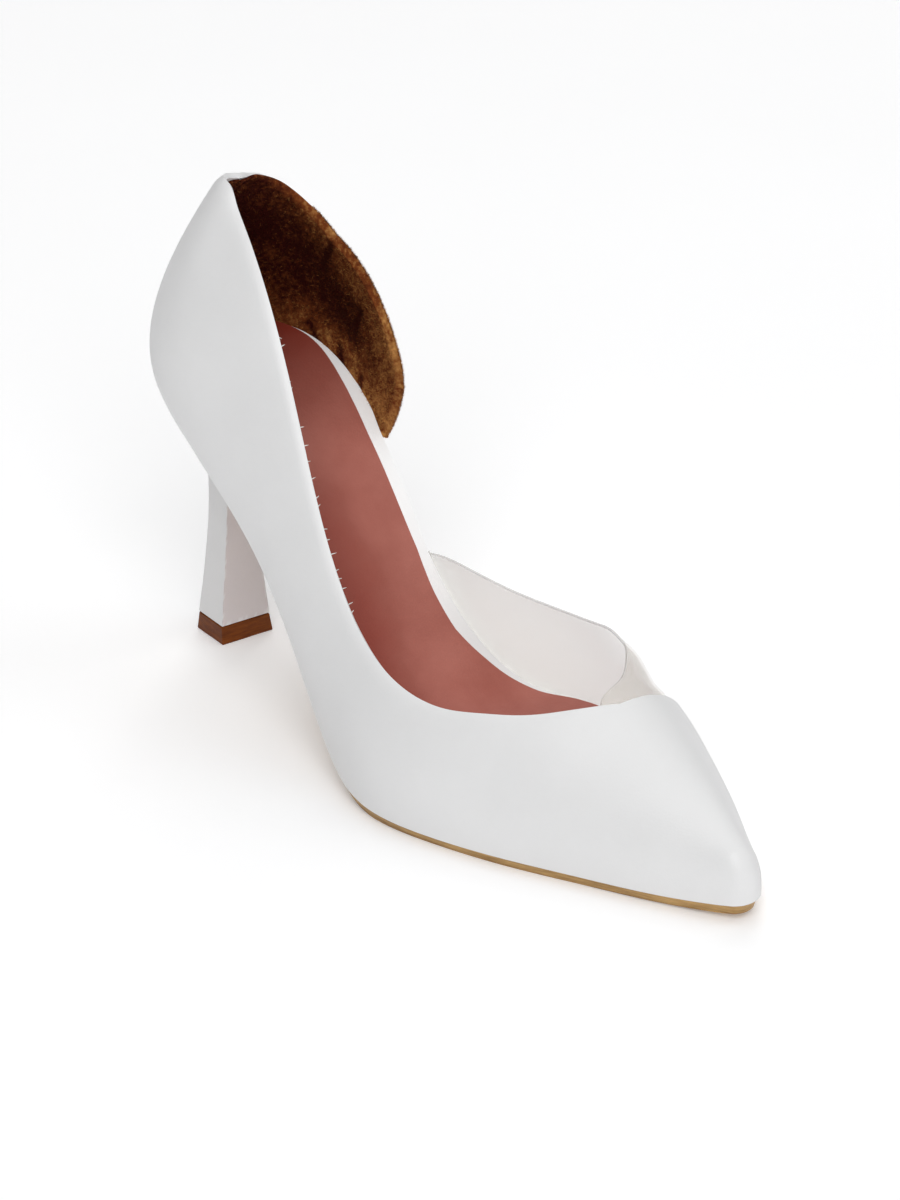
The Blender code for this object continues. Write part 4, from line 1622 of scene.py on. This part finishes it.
@dataclass
class Heel:
    """Covered heel and its top lift."""

    seat_inset: float = 1.2 * MM
    centre_x: float = -1.3 * MM
    swing: float = math.radians(-4.7)
    flare_power: float = 2.4
    gap: float = 0.3 * MM
    tip_thickness: float = 5.5 * MM
    tip_taper: float = 0.6 * MM
    tip_round: float = 0.35 * MM
    tip_steps: int = 8
    corner: float = 0.45 * MM
    seat_steps: int = 48
    across: int = 20
    stem_steps: int = 30
    flare_steps: int = 30
    stem: Table = Table("place width depth centre", (
        (5.8, 16.2, 13.4, 116.5),
        (15, 14.2, 12.1, 116.0),
        (28, 11.7, 10.9, 115.3),
        (40, 10.2, 10.3, 114.6),
        (52, 9.9, 10.4, 114.0),
    ))

    def half_ring(self, side: Side, height: float) -> Array:
        """Half of the stem's outline: along the flank to the back corner, then to the back's middle.

        Args:
            side: side of the foot.
            height: height over the floor.

        Returns:
            Points in plan, about the stem's middle.
        """
        half = self.stem.at("width", height) / 2
        deep = self.stem.at("depth", height)
        neck_half, neck_deep = self.stem.column("width")[-1] / 2, self.stem.column("depth")[-1]
        back_steps = round(self.seat_steps * neck_half / (neck_half + neck_deep))
        flank = np.linspace(0, 1, self.seat_steps - back_steps + 1)
        back = np.linspace(1, 0, back_steps + 1)[1:]
        x = side.value * half * np.concatenate([np.ones(len(flank)), back])
        y = deep * np.concatenate([flank, np.ones(len(back))]) - deep / 2
        return np.stack([x, y], -1)

    def ring(self, outer: Array, inner: Array) -> Array:
        """Closed ring of two halves that meet at the back, with a straight breast between them."""
        across = np.linspace(0, 1, self.across + 1)[1:-1, None]
        breast = outer[0] * (1 - across) + inner[0] * across
        return np.concatenate([outer[:1], breast, inner, outer[-2::-1]])

    def stem_ring(self, height: float) -> Array:
        """Stem's ring, swung about the upright.

        Args:
            height: height over the floor.

        Returns:
            Points of the closed ring.
        """
        flat = self.ring(*[self.half_ring(side, height) for side in Side])
        cos, sin = math.cos(self.swing), math.sin(self.swing)
        x = self.centre_x + flat[:, 0] * cos - flat[:, 1] * sin
        y = self.stem.at("centre", height) + flat[:, 0] * sin + flat[:, 1] * cos
        return np.stack([x, y, np.full(len(x), height)], -1)

    def build(self) -> list[Piece]:
        """Builds the covered heel and the top lift.

        Above the stem the rings go over into the seat's ring, evenly in height and late in plan.

        Returns:
            Both pieces.
        """
        places = np.linspace(LAST.breast, LAST.back, self.seat_steps + 1)
        edges = [LAST.bottom_edge(side, places, self.seat_inset) - self.gap * UP for side in Side]
        foot, *_, neck = self.stem.column("place")
        stem = np.stack([self.stem_ring(height) for height in np.linspace(foot, neck, self.stem_steps + 1)])
        seat = self.ring(*edges)
        spread = np.linspace(0, 1, self.flare_steps + 1)[1:, None, None]
        part = spread**self.flare_power * (1 - UP) + spread * UP
        rings = np.concatenate([stem, stem[-1] * (1 - part) + seat * part])
        skin = Skin()
        # The breast carries tone 1: painted shade on the face that looks in under the shoe
        skin.grid(rings[:, :self.across + 1], tone=1.0)
        skin.grid(rings[:, self.across:])
        skin.cap(rings[0])
        skin.grid(chords(*edges, self.across))
        cover = skin.build("heel_cover")
        soften(cover, self.corner)
        dress(cover, "heel", HEEL_LEATHER.material())
        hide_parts("heel")
        return [cover, self.build_tip(foot)]

    def build_tip(self, foot: float) -> Piece:
        """Builds the top lift, a little wider at the floor.

        Args:
            foot: height of the stem's lowest ring.

        Returns:
            The piece that stands for the heel tip.
        """
        top = self.stem_ring(foot)
        outward = np.sign(top - top.mean(axis=0))
        low, high = top + outward * self.tip_taper, top.copy()
        low[:, 2], high[:, 2] = 0, self.tip_thickness
        share = np.linspace(0, 1, self.tip_steps + 1)[:, None, None]
        skin = Skin()
        skin.grid(low * (1 - share) + high * share)
        skin.cap(low)
        skin.cap(high)
        tip = skin.build("top_lift")
        soften(tip, self.tip_round)
        dress(tip, "heel_tip", LIFT_LAYERS.material())
        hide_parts("heel_tip")
        return tip


@dataclass(frozen=True)
class SoftBox:
    """Square soft light that faces the shoe: place and edge in metres, power in watts."""

    name: str
    place: Triple
    size: float
    power: float
    aim: Triple = (0, 0, 0.05)

    def hang(self) -> None:
        """Hangs the light."""
        data = bpy.data.lights.new(self.name, "AREA")
        data.shape = "SQUARE"
        data.size = self.size
        data.energy = self.power
        light = bpy.data.objects.new(self.name, data)
        light.location = self.place
        light.rotation_euler = (Vector(self.aim) - Vector(self.place)).to_track_quat("-Z", "Y").to_euler()
        bpy.context.collection.objects.link(light)


@dataclass
class Studio:
    """Pale floor, soft lights and the camera at the photograph's angle."""

    azimuth: float = math.radians(-38.26)
    elevation: float = math.radians(26.47)
    roll: float = math.radians(-1.12)
    focal: float = 3549.0
    distance: float = 1000 * MM
    target: Triple = (23.2 * MM, 44.7 * MM, 28.6 * MM)
    frame_height: float = 1200.0
    sensor: float = 36.0
    floor_half: float = 14.0
    sky: float = 0.05
    lights: tuple[SoftBox, ...] = (
        SoftBox("top_box", (0.0, 0.0, 3.4), 3.2, 37.0),
        SoftBox("camera_box", (-1.61, -2.04, 2.4), 2.4, 75.0),
        SoftBox("right_box", (2.04, -1.61, 2.2), 2.4, 17.0),
        SoftBox("rear_box", (1.61, 2.04, 2.4), 2.4, 36.0),
    )

    def build_floor(self) -> None:
        """Makes the floor."""
        half = self.floor_half
        corners = [(-half, -half, 0), (half, -half, 0), (half, half, 0), (-half, half, 0)]
        mesh = bpy.data.meshes.new("floor")
        mesh.from_pydata(corners, [], [(0, 1, 2, 3)])
        floor = bpy.data.objects.new("floor", mesh)
        floor.data.materials.append(PALE_FLOOR.material())
        bpy.context.collection.objects.link(floor)

    def build_camera(self) -> None:
        """Places the camera by its angles about the target, rolled as in the photograph."""
        a, e, c, s = self.azimuth, self.elevation, math.cos(self.roll), math.sin(self.roll)
        back = np.array([math.sin(a) * math.cos(e), -math.cos(a) * math.cos(e), math.sin(e)])
        right = np.array([math.cos(a), math.sin(a), 0])
        up = np.cross(back, right)
        axes = np.stack([c * right + s * up, -s * right + c * up, back], axis=1)
        place = np.array(self.target) - BOX_MIDDLE + self.distance * back
        data = bpy.data.cameras.new("camera")
        data.sensor_width = self.sensor
        data.lens = self.focal * self.sensor / self.frame_height
        camera = bpy.data.objects.new("camera", data)
        camera.matrix_world = Matrix.Translation(Vector(place)) @ Matrix(axes.tolist()).to_4x4()
        bpy.context.collection.objects.link(camera)
        bpy.context.scene.camera = camera

    def build(self) -> None:
        """Makes floor, world, lights and camera."""
        scene = bpy.context.scene
        scene.view_settings.view_transform = "Standard"
        world = bpy.data.worlds.new("studio")
        world.use_nodes = True
        background = world.node_tree.nodes["Background"]
        background.inputs["Color"].default_value = WHITE_LIGHT
        background.inputs["Strength"].default_value = self.sky
        scene.world = world
        self.build_floor()
        for light in self.lights:
            light.hang()
        self.build_camera()


def main() -> None:
    """Builds and dresses the shoe, then the studio."""
    logging.basicConfig(level=logging.INFO, format="%(message)s")
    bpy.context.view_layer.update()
    upper = Upper()
    pieces = [upper.build(), *CounterLining(upper).build(), EdgeStitches(upper).build()]
    pieces += [*Footbed().build(), ClearPanel().build(), Outsole().build(), *Heel().build()]
    for piece in pieces:
        report(piece)
    Studio().build()


if __name__ == "__main__":
    main()
